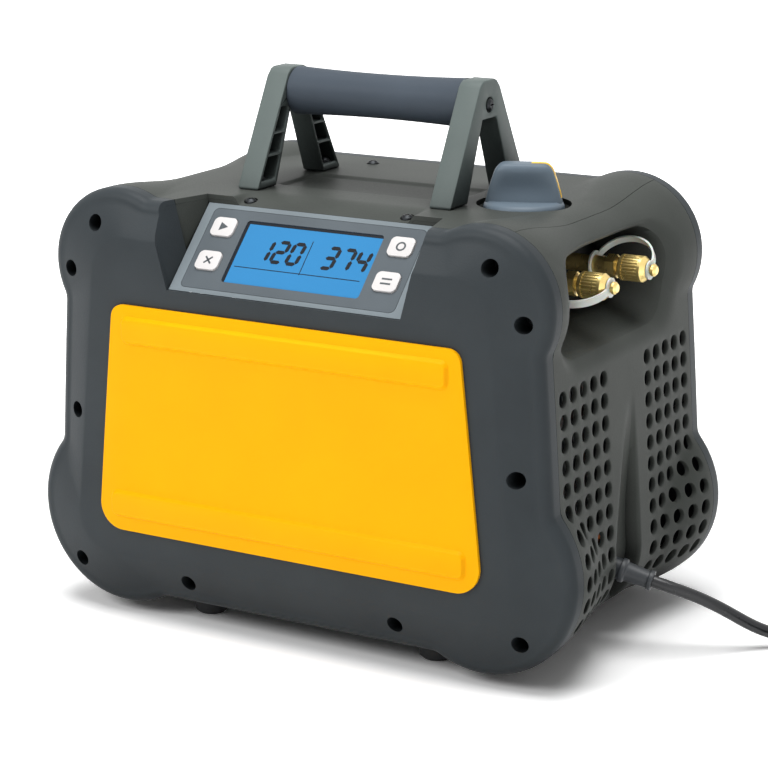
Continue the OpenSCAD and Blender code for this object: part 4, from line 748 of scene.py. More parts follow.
@dataclass
class SidePanel:
    """Side moulding with two groups of round vents; the right one has the bay and the cord's groove."""

    outline: Outline
    sign: int = 1
    bay: Bay | None = None
    vent_d: float = 10
    pitch: float = 14.3
    cols: int = 5
    rows: int = 11
    top: float = 186
    first: float = 32.6
    groove_depth: float = 9
    groove_ledge: float = 74
    groove_front: float = -25.5
    groove_rear: float = 8
    groove_lip: float = 2.5
    groove_soft: float = 8
    groove_head: float = 14
    groove_foot: float = 7
    groove_fade: float = 12
    bay_top: float = 275
    bay_cols: tuple[int, int] = (5, 4)
    rim: tuple = ((0.9, 0), (0.35, 0.12), (0.05, 0.5), (0, 1.2))
    sub: int = 4
    belly_n: int = 30
    middle_n: int = 26
    bay_n: int = 20
    top_n: int = 8
    table_low: float = 24
    table_n: tuple[int, int] = (201, 253)

    def groove(self, y: np.ndarray, z: np.ndarray) -> np.ndarray:
        """Depth of the cord's groove, a wedge: smooth steps along its height and across it.

        Args:
            y: depths.
            z: heights.

        Returns:
            How far the skin is let in there.
        """
        if self.bay is None:
            return np.zeros(np.broadcast(y, z).shape)
        top = self.top - self.groove_head
        foot = self.outline.belly + self.groove_foot
        down = (top - z) / (top - self.groove_ledge)
        upward = ease(down) * ease((z - foot) / self.groove_fade)
        point = self.groove_rear - self.groove_soft
        front = point + (self.groove_front - point) * np.clip(down, 0, 1)
        rear = 1 - ease((y - self.groove_rear) / self.groove_lip)
        return self.groove_depth * upward * ease((y - front) / self.groove_soft) * rear

    def skin(self, d: float) -> Skin:
        """Function that gives x at y and z on the panel, from a fine table of its sections.

        Args:
            d: 0 for the outer face, or how far the face is moved in.

        Returns:
            Function of two arrays.
        """
        ys = np.linspace(-self.outline.part, self.outline.part, self.table_n[0])
        zs = np.linspace(self.table_low, self.bay_top + 1, self.table_n[1])
        table = []
        for section in self.outline.sections(ys, d)[:, :self.outline.seam_i + 1]:
            low = int(np.argmin(section[:, 1]))
            table.append(np.interp(zs, section[low:, 1], section[low:, 0]))
        table = np.array(table) - self.groove(ys[:, None], zs[None])

        def at(y: np.ndarray, z: np.ndarray) -> np.ndarray:
            """Bilinear reading of the table.

            Args:
                y: depths.
                z: heights.

            Returns:
                x on the panel.
            """
            i = np.clip((np.asarray(y) - ys[0]) / (ys[1] - ys[0]), 0, len(ys) - 1.001)
            j = np.clip((np.asarray(z) - zs[0]) / (zs[1] - zs[0]), 0, len(zs) - 1.001)
            i0, j0 = i.astype(int), j.astype(int)
            u, v = i - i0, j - j0
            return ((1 - u) * (1 - v) * table[i0, j0] + u * (1 - v) * table[i0 + 1, j0]
                    + (1 - u) * v * table[i0, j0 + 1] + u * v * table[i0 + 1, j0 + 1])
        return at

    def lines(self) -> tuple[np.ndarray, np.ndarray]:
        """Depths and heights of the grid's lines, which pass between the vents.

        Returns:
            Depths across the panel, and heights up its side.
        """
        start = self.first - self.pitch / 2
        group = np.linspace(start, start + self.cols * self.pitch, self.cols * self.sub + 1)
        half = np.concatenate([group, [self.outline.part - self.outline.seam / 2]])
        middle = np.linspace(-start, start, self.middle_n + 1)[1:-1]
        ys = np.concatenate([-half[::-1], middle, half])
        low = self.top + self.pitch / 2 - self.rows * self.pitch
        side = np.linspace(low, self.top + self.pitch / 2, self.rows * self.sub + 1)
        return ys, np.concatenate([side, np.linspace(side[-1], self.bay_top, self.bay_n + 1)[1:]])

    def sheet(self, d: float) -> np.ndarray:
        """One face of the panel: along the belly, up the side between the lines, over the shoulder.

        Args:
            d: how far the face is moved in.

        Returns:
            Depths by points by 3.
        """
        ys, zs = self.lines()
        skin = self.skin(d)
        made = []
        for y, section in zip(ys, self.outline.sections(ys, d)[:, :self.outline.seam_i + 1]):
            low = int(np.argmin(section[:, 1]))
            turn = np.interp(zs[[0, -1]], section[low:, 1], np.arange(low, len(section)))
            foot = along(section, np.linspace(0, turn[0], self.belly_n + 1)[:-1])
            foot[:, 0] -= np.where(foot[:, 0] > self.outline.low_c[0], self.groove(y, foot[:, 1]), 0)
            side = np.stack([skin(np.full(len(zs), y), zs), zs], -1)
            over = along(section, np.linspace(turn[1], len(section) - 1, self.top_n + 1)[1:])
            made.append(at_depth(np.concatenate([foot, side, over]), y))
        return np.stack(made)

    def vents(self, outer: Skin, inner: Skin) -> np.ndarray:
        """Rings of every vent: a square of the grid, a rounded rim, the bore and the inner square.

        Args:
            outer: x of the outer face.
            inner: x of the inner face.

        Returns:
            Vents by rings by points by 3.
        """
        col = self.first + self.pitch * np.arange(self.cols)
        row = self.top - self.pitch * np.arange(self.rows)
        centre = np.stack(np.meshgrid(np.concatenate([-col, col]), row, indexing="ij"), -1).reshape(-1, 2)
        run = np.linspace(-1, 1, self.sub + 1)[:-1]
        one = np.ones(self.sub)
        square = np.concatenate([
            np.stack([run, -one], -1), np.stack([one, run], -1),
            np.stack([-run, one], -1), np.stack([-one, -run], -1)])
        round_ = square / np.linalg.norm(square, axis=1, keepdims=True)
        r = self.vent_d / 2
        edge = self.pitch / 2
        levels = [(round_, r + past, under, outer) for past, under in self.rim]
        levels = [(square, edge, 0, outer), *levels, (round_, r, 0, inner), (square, edge, 0, inner)]
        made = []
        for shape, size, drop, face in levels:
            flat = centre[:, None] + size * shape[None]
            x = face(flat[..., 0], flat[..., 1]) - drop
            made.append(np.concatenate([x[..., None], flat], -1))
        return np.stack(made, 1)

    def make(self, name: str, node: str) -> None:
        """Build the panel and dress it.

        Args:
            name: the piece's name.
            node: the node that it stands for.
        """
        ys, zs = self.lines()
        wall = self.outline.wall
        outer, inner = self.sheet(0), self.sheet(wall)
        faces = self.skin(0), self.skin(wall)
        keep = np.ones((outer.shape[0] - 1, outer.shape[1] - 1), bool)
        mid_y = np.abs((ys[1:] + ys[:-1]) / 2)
        start = self.first - self.pitch / 2
        vent_rows = (mid_y > start) & (mid_y < start + self.cols * self.pitch)
        keep[vent_rows, self.belly_n:self.belly_n + self.rows * self.sub] = False
        shape = Shape()
        if self.bay:
            front, rear = start + self.pitch * np.array(self.bay_cols)
            i0, i1 = (int(np.argmin(np.abs(ys - y))) for y in (-front, rear))
            j0, j1 = self.rows * self.sub, len(zs) - 1
            keep[i0:i1, self.belly_n + j0:self.belly_n + j1] = False
            y, z = ys[i0:i1 + 1], zs[j0:j1 + 1]
            edge = np.concatenate([
                np.stack([y[:-1], np.full(len(y) - 1, z[0])], -1),
                np.stack([np.full(len(z) - 1, y[-1]), z[:-1]], -1),
                np.stack([y[:0:-1], np.full(len(y) - 1, z[-1])], -1),
                np.stack([np.full(len(z) - 1, y[0]), z[:0:-1]], -1)])
            for rings in (self.bay.rings(edge, faces[0]), self.bay.rings(edge, faces[1], wall)):
                shape.sheet(rings, closed=True)
                shape.cap(rings[-1])
        for grid in (outer, inner):
            shape.sheet(grid, keep=keep)
        shape.cells(self.vents(*faces))
        for rim in (np.stack([outer[0], inner[0]]), np.stack([outer[-1], inner[-1]]),
                    np.stack([outer[:, 0], inner[:, 0]]), np.stack([outer[:, -1], inner[:, -1]])):
            shape.sheet(rim)
        shape.points = [p * [self.sign, 1, 1] for p in shape.points]
        dress(shape.piece(name), Look.STONE, HOUSING, "stone_shell", node, sharp=50)


@dataclass
class Console:
    """The slope that carries the display, with its frame: u across, v up the slope, h out of it."""

    width: float = 172
    length: float = 68.7
    tilt: float = 45
    y0: float = -122.5
    z1: float = 280.5
    back: float = 11.3
    seam: float = 0.3
    flare: float = 0.27
    cut_front: float = 20
    cut_top: float = 40
    shy: float = 0.15

    def __post_init__(self) -> None:
        """Work out the slope's ends."""
        run = self.length * math.cos(math.radians(self.tilt))
        self.y1 = self.y0 + run
        self.z0 = self.z1 - run

    def place(self, u: np.ndarray, v: np.ndarray, h: np.ndarray) -> np.ndarray:
        """Points on the slope in the part's frame."""
        c, s = math.cos(math.radians(self.tilt)), math.sin(math.radians(self.tilt))
        return np.stack([u, self.y0 + v * c - h * s, self.z0 + v * s + h * c], -1)

    def wall_x(self, y: np.ndarray, z: np.ndarray) -> np.ndarray:
        """x of the wall to the right of the console, which leans out with the height above the slope."""
        floor = np.maximum(self.z0, self.z0 + y - self.y0)
        return self.width / 2 + self.seam + self.flare * np.maximum(0, z - floor)

    def space(self) -> bpy.types.Object:
        """Cutter for everything above the slope, between its leaning walls.

        Returns:
            The cutter.
        """
        front, rear, top = self.y0 - self.cut_front, self.y1 + self.seam, self.z1 + self.cut_top
        flat = np.array([
            [front, self.z0], [self.y0, self.z0], [rear, self.z1 + self.seam], [rear, top],
            [self.y0, top], [front, top]])
        x = self.wall_x(*flat.T)
        flat[:, 1] -= self.seam
        sides = np.stack([np.insert(flat, 0, side * x, axis=1) for side in (-1, 1)])
        shape = Shape()
        shape.sheet(sides, closed=True)
        for side in sides:
            shape.cap(side[[0, 1, 4, 5]])
            shape.cap(side[[1, 2, 3, 4]])
        return shape.piece("space")

    def seat(self) -> bpy.types.Object:
        """Cutter for the console's frame.

        Returns:
            The cutter.
        """
        g = self.seam
        section = np.array([
            [self.y0 - g, self.z0 - g], [self.y0 + self.back + g, self.z0 - g],
            [self.y1 + g, self.z1 - self.back - g], [self.y1 + g, self.z1 + g]])
        half = self.width / 2 + g
        shape = Shape()
        shape.solid(np.stack([np.insert(section, 0, x, axis=1) for x in (-half, half)]))
        return shape.piece("seat")

    def cheeks(self, section: np.ndarray, wall: float) -> Shape:
        """Walls beside the console, a little shy of the cut so that no two faces share a plane.

        Args:
            section: their outline in depth and height.
            wall: their thickness.

        Returns:
            Both walls.
        """
        shape = Shape()
        x = self.wall_x(*section.T)
        for side in (-1, 1):
            shape.solid(np.stack([np.insert(section, 0, side * (x + t), axis=1) for t in (self.shy, wall)]))
        return shape


@dataclass
class Cover:
    """Front or rear moulding: a flat field that falls gently to a rounded, bumpered rim."""

    outline: Outline
    sign: int = -1
    face: float = 124.5
    rim: float = 115.5
    edge_r: float = 8
    panel_z: float = 64.6
    panel_h: float = 154
    panel_low_w: float = 289
    panel_high_w: float = 257
    margin: float = 18
    head: float = 261
    bore_d: float = 11
    sleeve_t: float = 3
    seat: float = 102.5
    hole_d: float = 4.6
    low_at: tuple[float, float] = (30.8, -37.5)
    high_at: tuple[float, float] = (12, 28.3)
    shoulder_at: tuple[float, float] = (34, -4.3)
    side_at: tuple[float, float] = (164.3, 141)
    belly_at: tuple[float, float] = (-22, 16.3)
    field_r: tuple[float, float] = (26, 27)
    fall_bend: float = 1.15
    fall_steps: int = 9
    edge_steps: int = 10
    bore_past: float = 5
    bore_sides: int = 36
    sink: float = 0.8
    brow_out: float = 9

    @property
    def skin_n(self) -> int:
        """Number of rings on the outer face, from the field to the end of the rim."""
        return self.fall_steps + self.edge_steps + 1

    def screws(self) -> np.ndarray:
        """Places of the screws on both halves.

        Returns:
            Points (x, z), one to a row.
        """
        o = self.outline
        right = np.array([
            o.low_c + self.low_at, o.high_c + self.high_at, o.high_c + self.shoulder_at, self.side_at,
            np.array([o.belly_c[0], o.belly]) + self.belly_at])
        return np.concatenate([right, right * [-1, 1]])

    def field_ring(self) -> np.ndarray:
        """Edge of the flat field round the panel: a rounded trapezoid that leans as the panel does.

        Returns:
            The points of a closed ring, one to a row.
        """
        lean = math.degrees(math.atan((self.panel_low_w - self.panel_high_w) / 2 / self.panel_h))
        p = np.array([self.panel_low_w / 2 + self.margin, self.panel_z])
        return whole(self.outline.plain(
            p, lean, self.panel_z - self.margin, self.head, *self.field_r, 0))

    def rings(self) -> np.ndarray:
        """Rings from the field over the rim to the seam and back along the inside.

        Between field and rim the face falls away nearly straight; the rim is a quarter circle.

        Returns:
            Rings by points by 3.
        """
        o = self.outline
        field_ring, rim_ring = self.field_ring(), whole(o.bumper(self.edge_r))
        made = []
        for s in np.linspace(0, 1, self.fall_steps + 1)[:-1]:
            fall = (self.face - self.rim) * s ** self.fall_bend
            made.append(at_depth(field_ring + (rim_ring - field_ring) * s, self.face - fall))
        for turn in np.radians(np.linspace(90, 0, self.edge_steps + 1)):
            d = self.edge_r * (1 - math.cos(turn))
            made.append(at_depth(whole(o.bumper(d)), self.rim - self.edge_r * (1 - math.sin(turn))))
        inside = whole(o.bumper(o.wall))
        made.append(at_depth(whole(o.bumper(0)), o.part + o.seam / 2))
        made.append(at_depth(inside, o.part + o.seam / 2))
        made.append(at_depth(inside, self.rim - self.edge_r))
        made.append(at_depth(rim_ring, self.rim - o.wall))
        made.append(at_depth(field_ring, self.face - o.wall))
        return np.stack(made) * [1, self.sign, 1]

    def depth(self, rings: np.ndarray, at: np.ndarray) -> np.ndarray:
        """Depth of the outer skin, from the nearest points of its rings.

        Args:
            rings: the cover's rings.
            at: points (x, z), one to a row.

        Returns:
            Depths, without their sign.
        """
        skin = rings[:self.skin_n].reshape(-1, 3)
        gap = np.linalg.norm(skin[None, :, [0, 2]] - at[:, None], axis=2)
        near = np.abs(skin[np.argmin(gap, 1), 1])
        foot = np.abs(rings[self.skin_n - 1::-1, 0])
        below = np.interp(at[:, 1], foot[:, 2], foot[:, 1])
        under = (np.abs(at[:, 0]) < self.outline.belly_c[0]) & (at[:, 1] < self.panel_z)
        return np.where(under, below, near)

    def brow(self, rings: np.ndarray, x: float) -> np.ndarray:
        """Line of the outer skin over the panel, from the field to the seam.

        Args:
            rings: the cover's rings.
            x: distance from the middle.

        Returns:
            Points (y, z), one to a row.
        """
        made = []
        for ring in rings[:self.skin_n + 1]:
            top = ring[(ring[:, 0] > 0) & (ring[:, 2] > self.panel_z + self.panel_h)]
            top = top[np.argsort(top[:, 0])]
            made.append([top[0, 1], np.interp(x, top[:, 0], top[:, 2])])
        return np.array(made)

    def make(self, name: str, node: str, console: Console | None = None) -> None:
        """Build the cover, bore it for its screws, cut the console's notch and dress it.

        Args:
            name: the piece's name.
            node: the node that it stands for.
            console: the console, on the front cover.
        """
        o = self.outline
        rings = self.rings()
        shell = Shape()
        shell.solid(rings)
        piece = shell.piece(name)
        bores, sleeves = Shape(), Shape()
        r, hole = self.bore_d / 2, self.hole_d / 2
        back = o.part + o.seam / 2
        spin = arc((0, 0), 1, 0, 360, self.bore_sides)
        for at in self.screws():
            bore = np.array([[r, self.seat], [r, self.face + self.bore_past]]) * [1, self.sign]
            bores.lathe(bore, (at[0], 0, at[1]), 1)
            tube = []
            for radius, y in ((r, None), (r, self.seat), (hole, self.seat), (hole, back),
                              (r + self.sleeve_t, back), (r + self.sleeve_t, None), (r, None)):
                flat = at + radius * spin
                y = self.depth(rings, flat) - self.sink if y is None else y
                tube.append(at_depth(flat, np.broadcast_to(y, len(flat)) * self.sign))
            sleeves.sheet(np.stack(tube), closed=True)
        cut(piece, bores.piece("bores"))
        if console:
            low = np.array([
                [-self.face + o.wall / 2, console.z0 - o.wall],
                [-back, console.z0 + self.face - back - o.wall]])
            brow = self.brow(rings, console.width / 2 + self.brow_out)[::-1] + [self.sink, -self.sink]
            brow[:, 0] = np.minimum(brow[:, 0], -back)
            cheeks = console.cheeks(np.concatenate([low, brow]), o.wall)
            cut(piece, console.space())
            cut(piece, console.seat())
            join(piece, cheeks.piece("cheeks"))
        join(piece, sleeves.piece("sleeves"))
        dress(piece, Look.CHARCOAL, HOUSING, "charcoal_shell", node, sharp=40)


@dataclass
class TopCover:
    """Deck between the side panels, let down between the handle's legs and sloping to the console."""

    outline: Outline
    console: Console
    knob: tuple[float, float] = (108, -3.5)
    recess_r: float = 30.5
    recess_d: float = 5
    deck_half: float = 62
    step_w: float = 6
    deck_edge: float = -49.5
    drop: float = 5.5
    channel: tuple[float, float] = (-23.5, 28.5)
    channel_d: float = 1.6
    screws: tuple = ((58.5, -66.5, 1.4), (52, 78.5, 1.0))
    screw_r: float = 4.5
    ramp: float = 6
    bend: float = 1.5
    bore_under: float = 9
    bore_over: float = 20
    spindle_r: float = 5.3
    collar_under: float = 1.6
    collar_lean: float = 0.02
    recess_soft: float = 1.5
    lip_half: float = 93
    lip_deep: float = 5
    lip_foot: float = 1
    tuck: float = 0.3
    cheek_foot: float = 12
    depth_n: int = 65
    ramp_n: int = 9
    across_n: tuple[int, int, int] = (8, 9, 14)
    recess_sides: int = 72
    screw_sides: int = 32

    def fall(self, y: np.ndarray) -> np.ndarray:
        """How far the deck lies under its edges: a curve to the console and a shallow channel.

        Args:
            y: depths.

        Returns:
            Distances downwards.
        """
        slope = np.maximum(0, self.deck_edge - y) / (self.deck_edge - self.console.y1)
        lo, hi = self.channel
        sunk = ease((y - lo) / self.ramp) * ease((hi - y) / self.ramp)
        return self.drop * slope ** self.bend + self.channel_d * sunk

    def sheet(self, d: float) -> np.ndarray:
        """One face of the cover, from the right seam over the deck to the left seam.

        Args:
            d: how far the face is moved in.

        Returns:
            Depths by points by 3.
        """
        o = self.outline
        lo, hi = self.channel
        ys = np.unique(np.concatenate([
            np.linspace(-o.part + o.seam / 2, o.part - o.seam / 2, self.depth_n),
            np.linspace(lo, lo + self.ramp, self.ramp_n), np.linspace(hi - self.ramp, hi, self.ramp_n)]))
        half = o.sections(ys, d)[:, o.seam_i:]
        first = half[:, 1] - half[:, 0]
        half[:, 0] += first * o.seam / np.linalg.norm(first, axis=1, keepdims=True)
        edge = self.deck_half + self.step_w
        stops = (o.deck_c[0], edge, self.deck_half, 0)
        x = np.concatenate([
            np.linspace(a, b, n)[1:] for a, b, n in zip(stops, stops[1:], self.across_n)])
        step = ease((edge - x) / self.step_w)
        z = half[:, -1:, 1] - self.fall(ys)[:, None] * step[None]
        deck = np.stack([np.broadcast_to(x, z.shape), z], -1)
        right = np.concatenate([half, deck], 1)
        ring = np.concatenate([right, right[:, -2::-1] * [-1, 1]], 1)
        return at_depth(ring, ys[:, None])

    def surround(self) -> tuple[Shape, Shape]:
        """Lips behind the console, which close the step down to the deck, and cheeks beside it.

        Returns:
            The lips and the cheeks.
        """
        o, c, t = self.outline, self.console, self.outline.wall
        front, rear = -o.part + o.seam / 2, c.y1 + c.seam
        high_front, high = o.sections(np.array([front, rear]))[:, -1, 1] - self.tuck
        near, far = self.deck_half, self.deck_half + self.step_w
        low = c.z1 - self.lip_deep
        lips = Shape()
        for side in (-1, 1):
            lip = np.array([
                [near, low], [self.lip_half, low], [self.lip_half, high], [far, high],
                [near + self.step_w / 2, (c.z1 + high) / 2], [near, c.z1 - self.lip_foot]]) * [side, 1]
            lips.prism(lip[::side], rear + c.shy, rear + t, upright)
        cheeks = c.cheeks(np.array([
            [front, c.z0 + self.cheek_foot], [c.y1 - t, c.z1 - t], [rear + t, high],
            [front, high_front]]), t)
        return lips, cheeks

    def make(self) -> None:
        """Build the cover, cut the console, the knob's recess and the screw seats, and dress it."""
        o = self.outline
        shell = Shape()
        shell.solid(np.concatenate([self.sheet(0), self.sheet(o.wall)[:, ::-1]], 1))
        piece = shell.piece("top_cover_shell")
        cut(piece, self.console.space())
        cut(piece, self.console.seat())
        centre = (*self.knob, 0)
        r, t, soft = self.recess_r, o.wall, self.recess_soft
        over = o.deck + self.bore_over
        holes = Shape()
        holes.lathe(np.array([[r, o.deck - self.bore_under], [r, over]]), centre, 2, self.recess_sides)
        for x, y, sink in self.screws:
            seat = o.deck - float(self.fall(np.array(y))) - sink
            for side in (-1, 1):
                bore = np.array([[self.screw_r, seat], [self.screw_r, over]])
                holes.lathe(bore, (side * x, y, 0), 2, self.screw_sides)
        cut(piece, holes.piece("holes"))
        floor, rim = o.deck - self.recess_d, o.deck - self.collar_under
        recess = Shape()
        recess.lathe(np.array([
            [self.spindle_r, floor - t], [r + t, floor - t], [r + t, rim], [r + self.collar_lean, rim],
            [r, floor + soft], [r - soft, floor], [self.spindle_r, floor]]), centre, 2, self.recess_sides)
        lips, cheeks = self.surround()
        join(piece, cheeks.piece("cheeks"))
        join(piece, recess.piece("recess"))
        join(piece, lips.piece("lips"))
        dress(piece, Look.STONE, HOUSING, "stone_shell", "top_cover", sharp=40)


@dataclass
class PanelBars:
    """Two raised bars across the panel, with broad rounded edges."""

    cover: Cover
    skin: float = 127
    rise: float = 2.8
    half: float = 9.8
    inset: float = 8.5
    corner: float = 6
    soft: float = 2.6
    levels: tuple[float, float] = (83.1, 202.1)
    root: float = 0.1
    steps: int = 10
    corner_steps: int = 8

    def make(self) -> None:
        """Build both bars over the panel's own: rounded rectangles that close in as they rise."""
        shape = Shape()
        c = self.cover
        for z in self.levels:
            edge = np.interp(z, [c.panel_z, c.panel_z + c.panel_h], [c.panel_low_w, c.panel_high_w]) / 2
            x, h = edge - self.inset - self.corner, self.half - self.corner
            corners = ((x, h, 0), (-x, h, 90), (-x, -h, 180), (x, -h, 270))
            rings = []
            for s in np.linspace(0, 1, self.steps + 1):
                r = self.corner - self.soft * s
                flat = [arc((u, v), r, a, a + 90, self.corner_steps, 0) for u, v, a in corners]
                out = self.skin - self.root + (self.rise + self.root) * ease(s)
                rings.append(at_depth(np.concatenate(flat) + [0, z], -out))
            shape.solid(np.stack(rings))
        dress(shape.piece("panel_bars"), Look.YELLOW, HOUSING, "yellow_panel")


# The display and its keys

@dataclass
class Display:
    """Numbers on the display and plain signs on the keys."""

    console: Console
    mid: float = 34.35
    lcd: tuple[float, float] = (101, 47)
    face: float = -0.6
    ink: float = 0.12
    digit: tuple[float, float] = (7.4, 15.2)
    stroke: float = 2.7
    slant: float = 0.12
    pitch: float = 11.5
    groups: tuple = (("120", -17.6), ("374", 31.2))
    key_x: float = 66
    key_low: float = 24.5
    key_pitch: float = 26.2
    key_top: float = 1.4
    digit_up: float = 3
    gap: float = 0.2
    rule: float = 0.25
    # Width of the painted shadow along the window's upper and left edges
    edge: float = 0.9
    divider: tuple[float, float, float] = (2.5, 1, 12.8)
    underline: tuple[float, float] = (-11, 4)
    play: tuple = ((-2.6, -3.2), (3.4, 0), (-2.6, 3.2))
    dash: tuple[float, float] = (3.6, 0.6)
    dash_gap: float = 1.7
    ring_r: float = 3.4
    ring_share: float = 0.66
    ring_steps: int = 28
    sink: float = 0.05

    SEGMENTS = {
        "0": "abcdef", "1": "bc", "2": "abdeg", "3": "abcdg", "4": "bcfg", "7": "abc"}

    def segment(self, which: str) -> np.ndarray:
        """Outline of one bar of a seven-bar digit, leaning with the digit.

        Args:
            which: its usual letter, a at the top to g in the middle.

        Returns:
            Six points about the digit's middle.
        """
        w, h = self.digit
        t = self.stroke / 2
        level = {"a": h / 2, "g": 0, "d": -h / 2}
        run = (w / 2 if which in level else h / 4) - self.gap
        bar = np.array([[-run, 0], [t - run, t], [run - t, t], [run, 0], [run - t, -t], [t - run, -t]])
        if which in level:
            bar = bar + [0, level[which]]
        else:
            bar = bar[:, ::-1] + [w / 2 if which in "bc" else -w / 2, h / 4 if which in "bf" else -h / 4]
        return bar + np.stack([bar[:, 1] * self.slant, np.zeros(6)], -1)

    def numbers(self) -> None:
        """Build the digits, their dividing lines and a painted shadow along the upper and left edges of the
        window, where its recess casts shade.
        """
        shape = Shape()
        place = self.console.place
        low, high = self.face, self.face + self.ink
        for text, centre in self.groups:
            for i, sign in enumerate(text):
                at = np.array([centre + (i - (len(text) - 1) / 2) * self.pitch, self.mid + self.digit_up])
                for which in self.SEGMENTS[sign]:
                    shape.prism(self.segment(which) + at, low, high, place)
        w, h = self.lcd
        edge = self.edge
        across, up, tall = self.divider
        drop, inset = self.underline
        # The last two bars are painted shadow: dark strips along the window's upper and left edges, where
        # the recess casts shade
        bars = (
            (across, self.mid + up, self.rule, tall), (0, self.mid + drop, w / 2 - inset, self.rule),
            (0, self.mid + h / 2 - edge, w / 2, edge), (edge - w / 2, self.mid - edge, edge, h / 2 - edge))
        for u, v, a, b in bars:
            box = np.array([[-a, -b], [a, -b], [a, b], [-a, b]]) + [u, v]
            shape.prism(box, low, high, place)
        dress(shape.piece("display_numbers"), Look.INK, HOUSING, "lcd")

    def signs(self) -> None:
        """Build a plain sign on each key: start, clear, zero and change."""
        tall = self.key_low + self.key_pitch
        ring = arc((0, 0), self.ring_r, 0, 360, self.ring_steps)
        hole = ring * self.ring_share
        half, t = self.dash
        bar = np.array([[-half, -t], [half, -t], [half, t], [-half, t]])
        cross = [turned(bar, 45), turned(bar, -45)]
        pair = [bar + [0, self.dash_gap], bar - [0, self.dash_gap]]
        keys = (
            ("start", -self.key_x, tall, [np.array(self.play)]),
            ("clear", -self.key_x, self.key_low, cross),
            ("zero", self.key_x, tall, None), ("units", self.key_x, self.key_low, pair))
        low, high = self.key_top - self.sink, self.key_top + self.ink
        for name, u, v, outlines in keys:
            shape = Shape()
            at = np.array([u, v])
            if outlines:
                for outline in outlines:
                    shape.prism(outline + at, low, high, self.console.place)
            else:
                rows = [(ring, low), (ring, high), (hole, high), (hole, low), (ring, low)]
                shape.sheet(np.stack([
                    self.console.place(*(p + at).T, np.full(len(p), h)) for p, h in rows]), closed=True)
            dress(shape.piece(f"{name}_sign"), Look.PRINT, f"{name}_button", "button")


# The selector

@dataclass
class Selector:
    """Bar knob: a round skirt and a tall wing with hollow flanks, marked with a bright strip."""

    x: float = 108
    y: float = -3.5
    floor: float = 281
    skirt_d: float = 52
    skirt_h: float = 7
    height: float = 31
    base_len: float = 25
    top_len: float = 17
    half_t: float = 8.5
    turn: float = 22
    root: float = 3
    taper: float = 1.3
    round_share: float = 0.2
    end_round: float = 4
    flank_round: float = 3.2
    end_power: float = 0.55
    flank_power: float = 0.4
    hollow: float = 0.22
    hollow_rise: float = 1.15
    strip_half: float = 2.3
    strip_in: tuple[float, float, float] = (1.4, 0, 1)
    strip_end: float = 5
    strip_foot: float = 0.4
    strip_lift: float = 0.02
    proud: float = 0.25
    sides: int = 96

    def place(self, p: np.ndarray) -> np.ndarray:
        """Points about the knob's axis, turned to its rest and put over the recess."""
        return np.concatenate([turned(p[:, :2], self.turn), p[:, 2:]], 1) + [self.x, self.y, self.floor]

    def wing(self, grow: float = 0) -> np.ndarray:
        """Rings of the wing: rounded slots that shorten with height, thinner along the middle.

        Args:
            grow: how far its ends and top are moved out.

        Returns:
            Rings by points by 3.
        """
        angle = np.linspace(0, 2 * np.pi, self.sides, endpoint=False)
        c, s = np.cos(angle), np.sin(angle)
        plain = 1 - self.round_share
        crown = 1 - self.round_share * (1 - np.sin(np.linspace(0, np.pi / 2, 9)[1:]))
        made = []
        for t in np.concatenate([np.linspace(0, plain, 12), crown]):
            shrink = max(0.0, (t - plain) / self.round_share)
            round_ = 1 - math.sqrt(max(0.0, 1 - shrink ** 2))
            taper = (self.top_len - self.base_len) * t ** self.taper
            length = self.base_len + taper + grow - self.end_round * round_
            thick = self.half_t - self.flank_round * round_
            x = length * np.sign(c) * np.abs(c) ** self.end_power
            bulge = math.sin(math.pi * min(1, t * self.hollow_rise)) ** 2
            waist = 1 - self.hollow * (1 - (x / length) ** 2) * bulge
            y = thick * np.sign(s) * np.abs(s) ** self.flank_power * waist
            z = np.full_like(x, self.root + (self.height - self.root + grow) * t)
            made.append(np.stack([x, y, z], -1))
        return np.stack(made)

    def make(self) -> None:
        """Build the knob and its strip."""
        shape = Shape()
        r, h = self.skirt_d / 2, self.skirt_h
        shape.lathe(np.array([
            [2, 0.5], [r - 0.6, 0.5], [r, 1.1], [r, h - 3.4], [r - 1.2, h - 1.2], [r - 3.6, h], [2, h]]),
            (0, 0, 0), 2, self.sides)
        shape.solid(self.wing())
        shape.points = [self.place(p) for p in shape.points]
        dress(shape.piece("knob_body"), Look.KNOB, "selector", "knob", "selector_knob", sharp=40)
        crest = self.wing(self.proud)[:, 0]
        side = crest[crest[:, 2] > self.skirt_h + self.strip_foot]
        steps = np.linspace(0, 1, 8)[1:, None]
        top = side[-1] + [0, 0, self.strip_lift] + steps * [self.strip_end - side[-1, 0], 0, 0]
        line = np.concatenate([side, top])
        inward = line - np.array(self.strip_in)
        across = np.array([0, self.strip_half, 0])
        rows = [line - across, line + across, inward + across, inward - across]
        strip = Shape()
        strip.solid(np.stack(rows, 1))
        strip.points = [self.place(p) for p in strip.points]
        dress(strip.piece("knob_strip"), Look.MARK, "selector", "pointer", "knob_pointer", sharp=40)


# The cord

